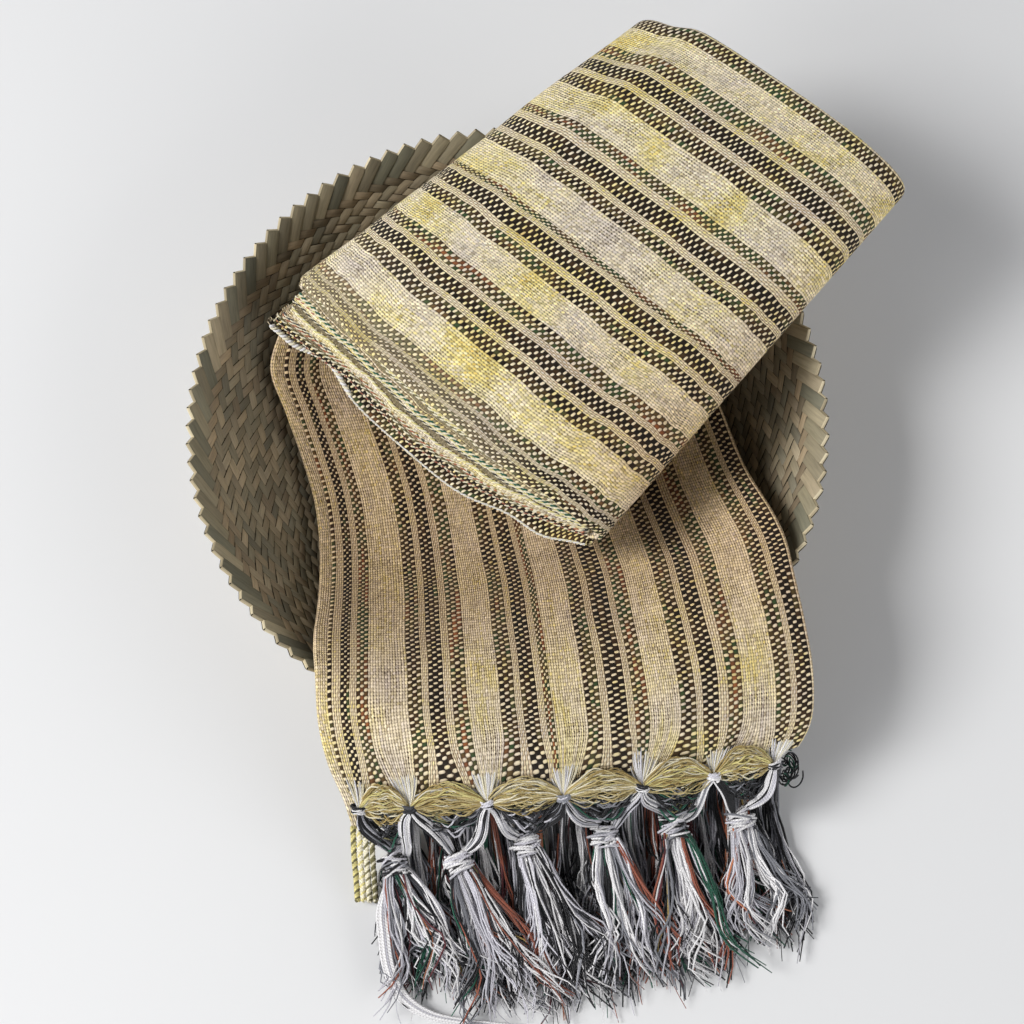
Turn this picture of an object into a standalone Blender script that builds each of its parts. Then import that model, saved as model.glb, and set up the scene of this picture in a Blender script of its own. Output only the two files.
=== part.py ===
"""A folded rebozo shawl lying in a shallow palm basket.

Metres, +Z up. The basket stands on z = 0 with its axis on the Z axis. +Y is the back, where the
folded bundle lies across the rim; the shawl's free end lies through the bowl and falls over the
front rim towards -Y, down to the surface that the basket stands on.
"""
import math

import bmesh
import bpy
import numpy as np
from mathutils import Vector

for old_object in list(bpy.data.objects):
    bpy.data.objects.remove(old_object, do_unlink=True)

# ---------------------------------------------------------------- driving dimensions, in metres

RIM_RADIUS = 0.165        # basket, across its rim 330 mm
RIM_HEIGHT = 0.068
FOOT_RADIUS = 0.100
BASKET_WALL = 0.003       # two plaited layers of palm strip
BASKET_FLARE = 1.6        # power by which the wall steepens from foot to rim
BASKET_SIDES = 60

CLOTH = 0.0014            # one layer of the handwoven cotton
PLY_PITCH = 0.0024        # from one layer of the folded strip to the next
GAP = 0.0005              # air kept between pieces that touch

# The shawl is folded in three along its length, so what shows is a strip a third as wide.
STRIP_PLIES = 3

# ---------------------------------------------------------------- materials


def principled(name, colour, roughness):
    material = bpy.data.materials.new(name)
    material.use_nodes = True
    shader = material.node_tree.nodes["Principled BSDF"]
    shader.inputs["Base Color"].default_value = (*colour, 1.0)
    shader.inputs["Roughness"].default_value = roughness
    shader.inputs["Metallic"].default_value = 0.0
    return material


STRIPED_COTTON = principled("striped_cotton", (0.46, 0.41, 0.27), 0.9)
COTTON_EDGES = principled("cotton_edges", (0.58, 0.52, 0.33), 0.9)
WEFT_LOOPS = principled("weft_loops", (0.50, 0.39, 0.14), 0.9)
FRINGE_YARN = principled("fringe_yarn", (0.45, 0.44, 0.48), 0.85)
PALM_STRIP = principled("palm_strip", (0.24, 0.21, 0.13), 0.7)

# ---------------------------------------------------------------- helpers

root = bpy.data.objects.new("rebozo_in_basket", None)
bpy.context.scene.collection.objects.link(root)


def add_object(name, bm, material):
    """Turns a closed bmesh into a named, smooth-shaded object under the root empty."""
    bmesh.ops.recalc_face_normals(bm, faces=bm.faces)
    if bm.calc_volume(signed=True) < 0.0:
        bmesh.ops.reverse_faces(bm, faces=bm.faces)
    mesh = bpy.data.meshes.new(name)
    bm.to_mesh(mesh)
    bm.free()
    mesh.shade_smooth()
    mesh.set_sharp_from_angle(angle=math.radians(50.0))
    mesh.materials.append(material)
    piece = bpy.data.objects.new(name, mesh)
    piece.parent = root
    bpy.context.scene.collection.objects.link(piece)
    return piece


def solid_through_loops(bm, loops, flat_ends=False, shares=None):
    """Closes a solid through equal loops of points.

    Each loop runs out along one face of the wall and back along the other, so that point i lies
    opposite point count - 1 - i. The first and last loops are closed by strips between the two,
    or by one flat face each. Where `shares` gives each point's place across the width, the faces
    between loops are split from near left to far right, so that layers close together split alike.
    """
    rings = [[bm.verts.new(point) for point in loop] for loop in loops]
    count = len(rings[0])
    for near, far in zip(rings, rings[1:]):
        for i in range(count):
            j = (i + 1) % count
            if shares is None:
                bm.faces.new((near[i], near[j], far[j], far[i]))
            elif shares[j] < shares[i]:
                bm.faces.new((near[i], near[j], far[i]))
                bm.faces.new((near[j], far[j], far[i]))
            else:
                bm.faces.new((near[i], near[j], far[j]))
                bm.faces.new((near[i], far[j], far[i]))
    for ring in (rings[0], rings[-1]):
        if flat_ends:
            bm.faces.new(ring)
            continue
        for i in range(count // 2 - 1):
            opposite = count - 1 - i
            bm.faces.new((ring[i], ring[i + 1], ring[opposite - 1], ring[opposite]))
    return rings


def through_rows(rows, t):
    """Catmull-Rom point at t (0 to 1) along equally spaced rows of numbers."""
    rows = np.asarray(rows, dtype=float)
    last = len(rows) - 1
    place = min(max(t, 0.0), 1.0) * last
    i = min(int(place), last - 1)
    f = place - i
    before, start = rows[max(i - 1, 0)], rows[i]
    end, after = rows[i + 1], rows[min(i + 2, last)]
    return 0.5 * (2.0 * start + (end - before) * f
                  + (2.0 * before - 5.0 * start + 4.0 * end - after) * f * f
                  + (3.0 * start - before - 3.0 * end + after) * f ** 3)


def mix(start, end, t):
    return start + (end - start) * t


def unit(vector):
    return vector / np.linalg.norm(vector)


# ---------------------------------------------------------------- basket: profile and solid


def basket_profile(steps):
    """Outer and inner faces of the basket's wall, as (radius, height) from foot to rim."""
    t = np.linspace(0.0, 1.0, steps)
    outer = np.stack([FOOT_RADIUS + (RIM_RADIUS - FOOT_RADIUS) * t,
                      RIM_HEIGHT * t ** BASKET_FLARE], axis=1)
    along = np.gradient(outer, axis=0)
    along /= np.linalg.norm(along, axis=1)[:, None]
    inward = np.stack([-along[:, 1], along[:, 0]], axis=1)
    return outer, outer + BASKET_WALL * inward


def rim_bead(outer, inner, steps):
    """Round top of the rim, from the outer face over to the inner one."""
    middle = (outer[-1] + inner[-1]) / 2.0
    side = outer[-1] - middle
    rise = np.array([-side[1], side[0]])
    angles = np.linspace(0.0, math.pi, steps + 2)[1:-1]
    return [middle + side * math.cos(a) + rise * math.sin(a) for a in angles]


def build_basket():
    outer, inner = basket_profile(7)
    profile = [(0.0, 0.0), *outer, *rim_bead(outer, inner, 2), *inner[::-1], (0.0, BASKET_WALL)]
    bm = bmesh.new()
    verts = [bm.verts.new((radius, 0.0, height)) for radius, height in profile]
    edges = [bm.edges.new(pair) for pair in zip(verts, verts[1:])]
    bmesh.ops.spin(bm, geom=verts + edges, axis=(0.0, 0.0, 1.0), cent=(0.0, 0.0, 0.0),
                   angle=2.0 * math.pi, steps=BASKET_SIDES, use_duplicate=False)
    bmesh.ops.remove_doubles(bm, verts=bm.verts, dist=1e-6)
    add_object("basket", bm, PALM_STRIP)


def resting_surface():
    """Dense (radius, height) points of everything in the basket that cloth can lie on."""
    outer, inner = basket_profile(200)
    floor = np.stack([np.linspace(0.0, FOOT_RADIUS, 60), np.full(60, BASKET_WALL)], axis=1)
    return np.concatenate([floor, inner, rim_bead(outer, inner, 30)[::-1], outer[:100:-1]])


RESTING = resting_surface()


def lowest_clear_height(radius, clearance):
    """Height at which a point is just this far from the basket, or far below it outside."""
    across = RESTING[:, 0][None, :] - np.asarray(radius).reshape(-1, 1)
    reach = clearance ** 2 - across ** 2
    height = RESTING[:, 1][None, :] + np.sqrt(np.maximum(reach, 0.0))
    height = np.where(reach > 0.0, height, -1.0).max(axis=1)
    return height.reshape(np.shape(radius))


# ---------------------------------------------------------------- the strip through the bowl

# Rows run from the bundle's underside to just past the hem, one every 25 mm of cloth. Each gives
# the strip's left and right edges, how far its middle sags below them (a crown where negative)
# and how far the middle bows out towards the front.
ROW_STEP = 0.025
STRIP_ROWS = (
    # left x, y, z           right x, y, z          sag     bow
    (-0.112, 0.064, 0.049, 0.080, 0.099, 0.046, 0.026, 0.000),
    (-0.119, 0.038, 0.042, 0.089, 0.076, 0.044, 0.030, 0.000),
    (-0.112, 0.016, 0.033, 0.098, 0.052, 0.045, 0.032, 0.000),
    (-0.104, -0.006, 0.023, 0.107, 0.029, 0.046, 0.030, 0.000),
    (-0.097, -0.029, 0.017, 0.115, 0.005, 0.046, 0.024, 0.000),
    (-0.093, -0.054, 0.019, 0.122, -0.018, 0.048, 0.020, 0.000),
    (-0.091, -0.077, 0.029, 0.130, -0.041, 0.055, 0.018, 0.000),
    (-0.090, -0.096, 0.044, 0.137, -0.063, 0.065, 0.014, 0.000),
    (-0.089, -0.115, 0.061, 0.141, -0.085, 0.075, 0.008, 0.002),
    (-0.088, -0.134, 0.076, 0.146, -0.110, 0.074, 0.002, 0.003),
    (-0.087, -0.158, 0.068, 0.150, -0.133, 0.067, -0.007, 0.004),
    (-0.083, -0.178, 0.053, 0.150, -0.155, 0.054, -0.017, 0.004),
    (-0.076, -0.195, 0.037, 0.142, -0.171, 0.042, -0.006, 0.006),
    (-0.070, -0.214, 0.019, 0.132, -0.188, 0.026, -0.001, 0.008),
)
STRIP_LENGTH = ROW_STEP * (len(STRIP_ROWS) - 1)
HEM = STRIP_LENGTH - ROW_STEP          # cloth length from the hidden end to the hem
FOLD_OVERHANG = 0.020                  # share of the width by which the under fold shows
SIDE_SHORT = 0.003                     # how far it stops short outside the first and last knots
SCALLOP = 0.007                        # how far the hem draws back between two knots
KNOT_PLACES = (0.010, 0.128, 0.304, 0.474, 0.653, 0.817, 0.957)
KNOT_RADIUS = 0.0032
UNDER_SHORT = 0.012                    # how far the under layers stop short of the hem
UNDER_CORNER = 0.026                   # and how much further they reach at the left edge
GRID_ACROSS = 33
GRID_ALONG = 61
GRID_MARGIN = 0.05                     # share of the width mapped past each edge
SMOOTHING = 60                         # passes that round the cloth where it bends over the rim
BEND_RADIUS = 0.010                    # the folded strip is too stiff to bend more sharply
BEND_ROOM = 0.0018                     # more air where flat facets bend over the basket


def strip_grid():
    """Middle surface of the strip's top layer, laid over bowl and rim, as a grid of points."""
    clearance = (STRIP_PLIES - 1) * PLY_PITCH + CLOTH / 2.0 + GAP + BEND_ROOM
    shares = np.linspace(-GRID_MARGIN, 1.0 + GRID_MARGIN, GRID_ACROSS)
    grid = np.zeros((GRID_ALONG, GRID_ACROSS, 3))
    for i in range(GRID_ALONG):
        row = through_rows(STRIP_ROWS, i / (GRID_ALONG - 1))
        bend = 4.0 * shares * (1.0 - shares)
        grid[i] = mix(row[0:3], row[3:6], shares[:, None])
        grid[i, :, 1] -= bend * row[7]
        grid[i, :, 2] -= bend * row[6]
    radius = np.hypot(grid[..., 0], grid[..., 1])
    rest = lowest_clear_height(radius, clearance + BEND_RADIUS) - BEND_RADIUS
    height = np.maximum(grid[..., 2], rest)
    for _ in range(SMOOTHING):
        padded = np.pad(height, 1, mode="edge")
        around = (padded[:-2, 1:-1] + padded[2:, 1:-1] + padded[1:-1, :-2] + padded[1:-1, 2:]) / 4.0
        height = np.maximum(mix(height, around, 0.5), rest)
    grid[..., 2] = height
    return grid


STRIP_GRID = strip_grid()


def strip_normals():
    """Upward normals of the grid, evened out so that the under layers never cross."""
    normals = np.cross(np.gradient(STRIP_GRID, axis=1), np.gradient(STRIP_GRID, axis=0))
    normals *= np.sign(normals[..., 2:3])
    normals /= np.linalg.norm(normals, axis=2)[..., None]
    for _ in range(8):
        padded = np.pad(normals, ((1, 1), (1, 1), (0, 0)), mode="edge")
        around = (padded[:-2, 1:-1] + padded[2:, 1:-1] + padded[1:-1, :-2] + padded[1:-1, 2:]) / 4.0
        normals = mix(normals, around, 0.5)
    return normals / np.linalg.norm(normals, axis=2)[..., None]


STRIP_NORMALS = strip_normals()


def from_grid(grid, share, length):
    """Value of a grid over the strip at a share of its width and a length of cloth."""
    x = (share + GRID_MARGIN) / (1.0 + 2.0 * GRID_MARGIN) * (GRID_ACROSS - 1)
    y = length / STRIP_LENGTH * (GRID_ALONG - 1)
    i = int(min(max(y, 0.0), GRID_ALONG - 2.001))
    j = int(min(max(x, 0.0), GRID_ACROSS - 2.001))
    near = mix(grid[i, j], grid[i, j + 1], x - j)
    far = mix(grid[i + 1, j], grid[i + 1, j + 1], x - j)
    return mix(near, far, y - i)


def strip_frame(share, length):
    """Point, direction across, direction along and normal of the strip's top layer."""
    side = 0.03
    normal = unit(from_grid(STRIP_NORMALS, share, length))
    across = (from_grid(STRIP_GRID, share + side, length)
              - from_grid(STRIP_GRID, share - side, length))
    across = unit(across - across.dot(normal) * normal)
    return from_grid(STRIP_GRID, share, length), across, np.cross(across, normal), normal


def knot_columns(parts):
    """Shares of the width with a column of points: both edges, and parts of each knot's gap."""
    columns = [0.0]
    for left, right in zip(KNOT_PLACES, KNOT_PLACES[1:]):
        columns += [mix(left, right, part) for part in parts]
    return columns + [KNOT_PLACES[-1], 1.0]


def top_hem(share):
    """Length of the top layer at a share of the width: drawn back between the knots."""
    gap = next((pair for pair in zip(KNOT_PLACES, KNOT_PLACES[1:]) if pair[0] <= share <= pair[1]),
               None)
    if gap is None:
        return HEM - KNOT_RADIUS - GAP - SIDE_SHORT
    part = (share - gap[0]) / (gap[1] - gap[0])
    return HEM - KNOT_RADIUS - GAP - SCALLOP * math.sin(math.pi * part)


def under_hem(share):
    """Length of the two under layers, which hang lower at the left edge only."""
    return HEM - UNDER_SHORT + UNDER_CORNER * max(1.0 - max(share, 0.0) / 0.08, 0.0)


def fold_path():
    """Columns around the strip folded in three: share, depth in pitches, turn of the normal.

    The turn is the angle from the top layer's normal, towards the right edge.
    """
    columns = knot_columns((0.0, 0.25, 0.5, 0.75))
    under = knot_columns((0.0, 0.5))[1:-1]
    quarter = (45.0, 90.0, 135.0)
    path = [(share, 0.0, 0.0, top_hem(share)) for share in columns]
    path += [(1.0, 0.5, turn, mix(top_hem(1.0), under_hem(1.0), turn / 180.0)) for turn in quarter]
    path += [(share, 1.0, 180.0, under_hem(share)) for share in (1.0, *under[::-1])]
    path += [(-FOLD_OVERHANG, 1.5, 180.0 + turn, under_hem(-FOLD_OVERHANG))
             for turn in (0.0, *quarter, 180.0)]
    path += [(share, 2.0, 360.0, under_hem(share)) for share in under]
    return path


def strip_wall_points(column, length):
    """Both faces of the folded strip at one column and length."""
    share, depth, turn, _ = column
    point, across, _, normal = strip_frame(share, length)
    angle = math.radians(turn)
    towards_fold = across if turn <= 180.0 else -across
    facing = math.cos(angle) * normal + math.sin(angle) * towards_fold
    middle = point - depth * PLY_PITCH * normal
    if depth == 0.5:
        middle = middle + facing * PLY_PITCH / 2.0
    elif depth == 1.5:
        middle = middle - facing * PLY_PITCH / 2.0
    return middle + facing * CLOTH / 2.0, middle - facing * CLOTH / 2.0


# Cross rows of the strip as shares of the length that all three layers reach, closer where it
# bends over the rim.
SHARED_LENGTH = HEM - 0.015
STATIONS = np.concatenate([np.linspace(0.0, 0.56, 9), np.linspace(0.60, 1.0, 14)])
HEM_STATIONS = (0.5, 1.0)              # then from there to each layer's own hem


def build_strip():
    """The shawl's free end, folded in three, through the bowl and over the front rim."""
    path = fold_path()
    loops = []
    rows = [[SHARED_LENGTH * part] * len(path) for part in STATIONS]
    rows += [[mix(SHARED_LENGTH, column[3], part) for column in path] for part in HEM_STATIONS]
    for lengths in rows:
        outer, inner = [], []
        for column, length in zip(path, lengths):
            face, back = strip_wall_points(column, length)
            outer.append(face)
            inner.append(back)
        loops.append(outer + inner[::-1])
    shares = [column[0] for column in path]
    bm = bmesh.new()
    solid_through_loops(bm, loops, shares=shares + shares[::-1])
    add_object("shawl_strip", bm, STRIPED_COTTON)


# ---------------------------------------------------------------- the folded bundle

# Where the two long folds end, at the bundle's open left end and its folded right end.
BACK_FOLD = ((-0.107, 0.071), (0.072, 0.209))
FRONT_FOLD = ((0.047, -0.067), (0.202, 0.109))
MIDDLE_HEIGHT = (0.0800, 0.1018)       # of the bundle, at its left and right ends
HALF_THICKNESS = (0.0250, 0.0243)
CROWN = 0.003                          # the top's rise between the two ends
BACK_ROUNDNESS = (3.6, 2.3)            # superellipse powers along and up, at the back fold
FRONT_ROUNDNESS = (2.5, 2.2)
BUNDLE_WIDTH = 0.230                   # from the open left end to the folded right end
WRAP = 0.0030                          # the outer pass of the strip, its layers pressed together
WRAP_TURNS = (-62.0, 238.0)            # where the outer pass starts and ends, under both folds
ROUNDED_EDGE = 0.0007                  # taken off both faces of the outer pass at its ends
LEFT_BOW = 0.010                       # the left end's bow at the top, midway between the folds
RIGHT_STEP = 0.006                     # step in the folded right end, near the back fold
RIGHT_IN = 0.004                       # the part behind the step stops this much short


def bundle_point(share, turn, inset):
    """Point of the bundle's section at a share of its width, by turn in degrees.

    Turn 0 is the front fold, 90 the top, 180 the back fold and 270 the underside.
    """
    back = mix(np.array(BACK_FOLD[0]), np.array(BACK_FOLD[1]), share)
    front = mix(np.array(FRONT_FOLD[0]), np.array(FRONT_FOLD[1]), share)
    centre, half = (back + front) / 2.0, (front - back) / 2.0
    reach = np.linalg.norm(half)
    angle = math.radians(turn)
    cosine, sine = math.cos(angle), math.sin(angle)
    along_power, up_power = FRONT_ROUNDNESS if cosine > 0.0 else BACK_ROUNDNESS
    flat = math.copysign(abs(cosine) ** (2.0 / along_power), cosine)
    lift = math.copysign(abs(sine) ** (2.0 / up_power), sine)
    centre = centre + half * flat * (reach - inset) / reach
    crown = CROWN * (1.0 - (2.0 * min(max(share, 0.0), 1.0) - 1.0) ** 4) * max(sine, 0.0)
    height = mix(*MIDDLE_HEIGHT, share) + lift * (mix(*HALF_THICKNESS, share) - inset) + crown
    return np.array([centre[0], centre[1], height])


def wrap_end(turn):
    """Share of the width at which the outer pass ends on the right, with the step in its edge."""
    step = 1.0 / (1.0 + math.exp((turn - 122.0) / 3.0))
    return 1.0 + (step * RIGHT_STEP - RIGHT_IN) / BUNDLE_WIDTH


def wrap_start(turn):
    """Share of the width at which the outer pass begins on the left: bowed out over the top."""
    return -LEFT_BOW / BUNDLE_WIDTH * max(math.sin(math.radians(turn)), 0.0) ** 2


def build_wrap():
    """The outer pass over the top of the bundle and round both of its long folds."""
    steps = 26
    shares = np.linspace(0.0, 1.0, 8)
    loops = []
    for step in range(steps + 1):
        turn = mix(*WRAP_TURNS, step / steps)
        outer, inner = [], []
        for share in shares:
            place = mix(wrap_start(turn), wrap_end(turn), share)
            edge = ROUNDED_EDGE if share in (0.0, 1.0) else 0.0
            outer.append(bundle_point(place, turn, edge))
            inner.append(bundle_point(place, turn, WRAP - edge))
        loops.append(outer + inner[::-1])
    bm = bmesh.new()
    solid_through_loops(bm, loops)
    add_object("bundle_wrap", bm, STRIPED_COTTON)


CORE_LAYERS = 6                        # passes of the strip that show at the bundle's ends
LAYER_BULGE = 0.0022                   # how far a folded edge stands out of the grooves
CORE_ENDS = (0.012, 0.988)             # shares of the width between which the layers lie
# How far the lowest layers stand out at the left, from the back fold to the front fold.
LEFT_SPLAY = ((0.026,), (0.020,), (0.024,), (0.017,), (0.003,))
LAYER_STEPS = 4                        # points over one folded edge


def layer_edge(flat, level):
    """How far the edges stand out at a level from -1 (lowest) to 1 (top), less at the folds."""
    fade = 1.0 - flat ** 6
    return fade * LAYER_BULGE * abs(math.sin(math.pi * CORE_LAYERS * (level + 1.0) / 2.0))


def left_push(flat, level):
    """How far the left end stands out at a place between the folds and a level from -1 to 1."""
    low = through_rows(LEFT_SPLAY, (flat + 1.0) / 2.0)[0]
    return mix(low, LEFT_BOW * (1.0 - flat * flat), (level + 1.0) / 2.0)


def core_point(flat, share, level, push):
    """Point inside the wrap: flat runs from -1 at the back fold to 1 at the front fold."""
    power, up_power = FRONT_ROUNDNESS if flat > 0.0 else BACK_ROUNDNESS
    cosine = math.copysign(abs(flat) ** (power / 2.0), flat)
    turn = math.degrees(math.acos(cosine))
    inset = WRAP + 2.0 * GAP
    top = bundle_point(share, turn, inset)
    bottom = bundle_point(share, -turn, inset)
    point = mix(bottom, top, (level + 1.0) / 2.0)
    outward = np.array(BACK_FOLD[0]) - np.array(BACK_FOLD[1])
    point[:2] += unit(outward) * push
    return point


def build_core():
    """The hidden passes of the folded strip as one rounded solid, layered at both ends."""
    across = np.linspace(0.0, 1.0, 6)
    half = CORE_LAYERS * LAYER_STEPS // 2
    levels = np.linspace(0.0, 1.0, half + 1)
    loops = []
    for flat in (-0.998, -0.97, -0.88, -0.7, -0.45, -0.15, 0.15, 0.45, 0.7, 0.86, 0.96, 0.996):
        upper, lower = [], []
        for sign, points in ((1.0, upper), (-1.0, lower)):
            for level in levels[:-1] * sign:
                push = left_push(flat, level) + layer_edge(flat, level)
                points.append(core_point(flat, CORE_ENDS[0], level, push))
            for share in across:
                place = mix(*CORE_ENDS, share)
                push = left_push(flat, sign) * (1.0 - share) ** 4
                points.append(core_point(flat, place, sign, push))
            for level in levels[-2::-1] * sign:
                points.append(core_point(flat, CORE_ENDS[1], level, -layer_edge(flat, level)))
        loops.append(upper + lower[::-1])
    bm = bmesh.new()
    solid_through_loops(bm, loops, flat_ends=True)
    bmesh.ops.remove_doubles(bm, verts=bm.verts, dist=1e-6)
    add_object("bundle_core", bm, COTTON_EDGES)


LEAF_TURNS = (200.0, 338.0)            # from under the back fold to under the front fold
LEAF_DEPTH = 0.30                      # share of the bundle's width that it reaches under
LEAF_WAVE = 0.0016
LEAF_THICKNESS = 0.00224                # its edge is rolled


def build_leaf():
    """The lowest pass, whose loose edge shows wavy under the bundle's left end."""
    steps = 18
    loops = []
    for step in range(steps + 1):
        turn = mix(*LEAF_TURNS, step / steps)
        wave = math.sin(math.radians(turn * 7.0)) + 0.5 * math.sin(math.radians(turn * 13.0))
        flat = math.cos(math.radians(turn))
        edge = -(left_push(flat, -1.0) + LEAF_WAVE * wave) / BUNDLE_WIDTH
        outer, inner = [], []
        for share in np.linspace(0.0, 1.0, 5):
            place = mix(edge, LEAF_DEPTH, share ** 1.5)
            outer.append(bundle_point(place, turn, -GAP - LEAF_THICKNESS))
            inner.append(bundle_point(place, turn, -GAP))
        loops.append(outer + inner[::-1])
    bm = bmesh.new()
    solid_through_loops(bm, loops)
    add_object("bundle_leaf", bm, COTTON_EDGES)


# ---------------------------------------------------------------- hem loops, knots and net legs

HEM_LIFT = 0.0032                      # the knots lie this far above the top layer's middle
LOOP_SPREAD = 0.0044                   # half breadth of the weft loops between two knots
LOOP_THICKNESS = 0.0008                # and half their thickness
LOOP_DROP = 0.0004                     # they lie this much lower than the knots
KNOT_SQUARE = 0.75                     # half side of a knot's square section, to its radius
LEG_RADIUS = 0.0014
LEG_START = 0.0016                     # a leg leaves its knot straight for this far
LEG_SLACK = np.array([0.0, -0.002, 0.003])
LEG_END = (0.0024, 0.0095, 0.0030)     # beside, behind and above the middle of a tassel's head

# Second row of knots, each the head of a tassel, and where the tassel's tips lie.
TASSELS = (
    # head x, y, z          tips x, y      half spread of the tips
    (-0.0570, -0.2220, 0.0150, -0.0370, -0.2820, 0.0165),
    (-0.0240, -0.2210, 0.0150, 0.0060, -0.2900, 0.0165),
    (0.0100, -0.2120, 0.0170, 0.0370, -0.2840, 0.0125),
    (0.0500, -0.2080, 0.0180, 0.0675, -0.2800, 0.0135),
    (0.0850, -0.2040, 0.0190, 0.1000, -0.2740, 0.0145),
    (0.1190, -0.2000, 0.0200, 0.1340, -0.2560, 0.0160),
)
HEAD_HALF = (0.0062, 0.0040)           # half sizes of a tassel's head, across and up
HEAD_FRONT = 0.0045                    # the strands leave the head this far in front of its middle
# Sections of the head behind its strands: how far in front of the middle, and size.
HEAD_SECTIONS = ((0.0020, 0.72), (-0.0015, 1.0), (-0.0045, 0.55))


def corners_around(centre, first, second, reach, rise):
    """Four corners around a point; the side between the first two faces along `first`."""
    corners = ((1.0, 1.0), (1.0, -1.0), (-1.0, -1.0), (-1.0, 1.0))
    return [centre + a * reach * first + b * rise * second for a, b in corners]


def draw_strand(bm, face, route, sizes):
    """Draws a strand out of one face of its backing, along a route of points."""
    corners = [np.array(vert.co) for vert in face.verts]
    middle = sum(corners) / len(corners)
    shape = [corner - middle for corner in corners]
    for centre, size in zip(route, sizes):
        made = bmesh.ops.extrude_discrete_faces(bm, faces=[face])
        face = made["faces"][0]
        for vert, offset in zip(face.verts, shape):
            vert.co = centre + offset * size


def draw_lock(bm, face, route, sizes):
    """Draws a strand whose section turns level with its route, so that it can bend far round."""
    corners = [np.array(vert.co) for vert in face.verts]
    middle = sum(corners) / len(corners)
    start = Vector(face.normal)
    start.z = 0.0
    ahead = [*route[1:], 2.0 * route[-1] - route[-2]]
    for centre, following, size in zip(route, ahead, sizes):
        heading = Vector(following - centre)
        heading.z = 0.0
        turn = np.array(start.rotation_difference(heading).to_matrix())
        made = bmesh.ops.extrude_discrete_faces(bm, faces=[face])
        face = made["faces"][0]
        for vert, corner in zip(face.verts, corners):
            vert.co = centre + turn @ (corner - middle) * size


def build_hem_knots():
    """A band of weft loops along the hem, with the first row of knots and the net's legs."""
    rings, knot_rings, knot_fronts = [], [], []
    for index, share in enumerate(KNOT_PLACES):
        point, across, along, normal = strip_frame(share, HEM)
        centre = point + HEM_LIFT * normal
        knot_fronts.append(along)
        for shift, size in ((-1.0, 0.5), (0.0, 1.0), (1.0, 0.5)):
            place = centre + across * shift * KNOT_RADIUS
            half = KNOT_RADIUS * size * KNOT_SQUARE
            rings.append(corners_around(place, along, normal, half, half))
        knot_rings.append(len(rings) - 2)
        if index + 1 == len(KNOT_PLACES):
            break
        for part in (0.3, 0.5, 0.7):
            between = mix(share, KNOT_PLACES[index + 1], part)
            point, across, along, normal = strip_frame(between, HEM)
            spread = LOOP_SPREAD * math.sin(math.pi * part)
            centre = point + (HEM_LIFT - LOOP_DROP) * normal - (spread - LOOP_THICKNESS) * along
            rings.append(corners_around(centre, along, normal, spread, LOOP_THICKNESS))
    bm = bmesh.new()
    made = solid_through_loops(bm, rings)
    for index, ring in enumerate(knot_rings):
        for side in (-1, 1):
            tassel = index - 1 if side < 0 else index
            if not 0 <= tassel < len(TASSELS):
                continue
            corners = {made[ring][0], made[ring][1], made[ring + side][0], made[ring + side][1]}
            face = next(f for f in made[ring][0].link_faces if set(f.verts) == corners)
            start = np.array(face.calc_center_median())
            head = np.array(TASSELS[tassel][:3])
            end = head + np.array([-side * LEG_END[0], LEG_END[1], LEG_END[2]])
            size = LEG_RADIUS / (KNOT_RADIUS * KNOT_SQUARE * 0.8)
            route = [start + knot_fronts[index] * LEG_START]
            route += [mix(start, end, t) + LEG_SLACK * math.sin(math.pi * t)
                      for t in (0.4, 0.7, 1.0)]
            draw_strand(bm, face, route, (0.8, size, size, size * 0.8))
    add_object("hem_knots", bm, WEFT_LOOPS)


# ---------------------------------------------------------------- under layer's twisted end

# Left and right edges of four twisted cords that hang from the under layer's left corner.
UNDER_FRINGE_ROWS = (
    # left x, y, z           right x, y, z
    (-0.0790, -0.2105, 0.0235, -0.0665, -0.2125, 0.0225),
    (-0.0790, -0.2190, 0.0170, -0.0665, -0.2205, 0.0165),
    (-0.0785, -0.2280, 0.0105, -0.0660, -0.2290, 0.0100),
    (-0.0780, -0.2380, 0.0050, -0.0655, -0.2385, 0.0050),
)
TWISTED_CORDS = 4
TWIST_RIDGE = 0.0011                   # each cord's rise above the grooves between them


def build_under_fringe():
    """Four twisted cords side by side, ending in one straight cut just above the surface."""
    loops = []
    for row in UNDER_FRINGE_ROWS:
        upper, lower = [], []
        for i in range(TWISTED_CORDS * 4 + 1):
            ridge = abs(math.sin(math.pi * i / 4.0)) * TWIST_RIDGE
            point = mix(np.array(row[:3]), np.array(row[3:]), i / (TWISTED_CORDS * 4))
            upper.append(point + np.array([0.0, 0.0, CLOTH / 2.0 + ridge]))
            lower.append(point - np.array([0.0, 0.0, CLOTH / 2.0]))
        loops.append(upper + lower[::-1])
    bm = bmesh.new()
    solid_through_loops(bm, loops)
    add_object("under_fringe", bm, COTTON_EDGES)


# ---------------------------------------------------------------- tassels

CELLS_ACROSS = 4                       # the head's root face is this many cells by CELLS_UP
CELLS_UP = 3
STRAND_PARTS = (0.22, 0.46, 0.72)      # bends of a strand, as shares of its length
FLOOR_CLEARANCE = 0.0013               # of the lowest strands' middles
ROW_RISE = 0.0032                      # from one row of tips to the one above
CURL = 0.0020                          # sideways wave of the strands
STRAND_SIZES = (0.84, 0.80, 0.74, 0.5)  # of a strand's section against its root, step by step

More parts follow.
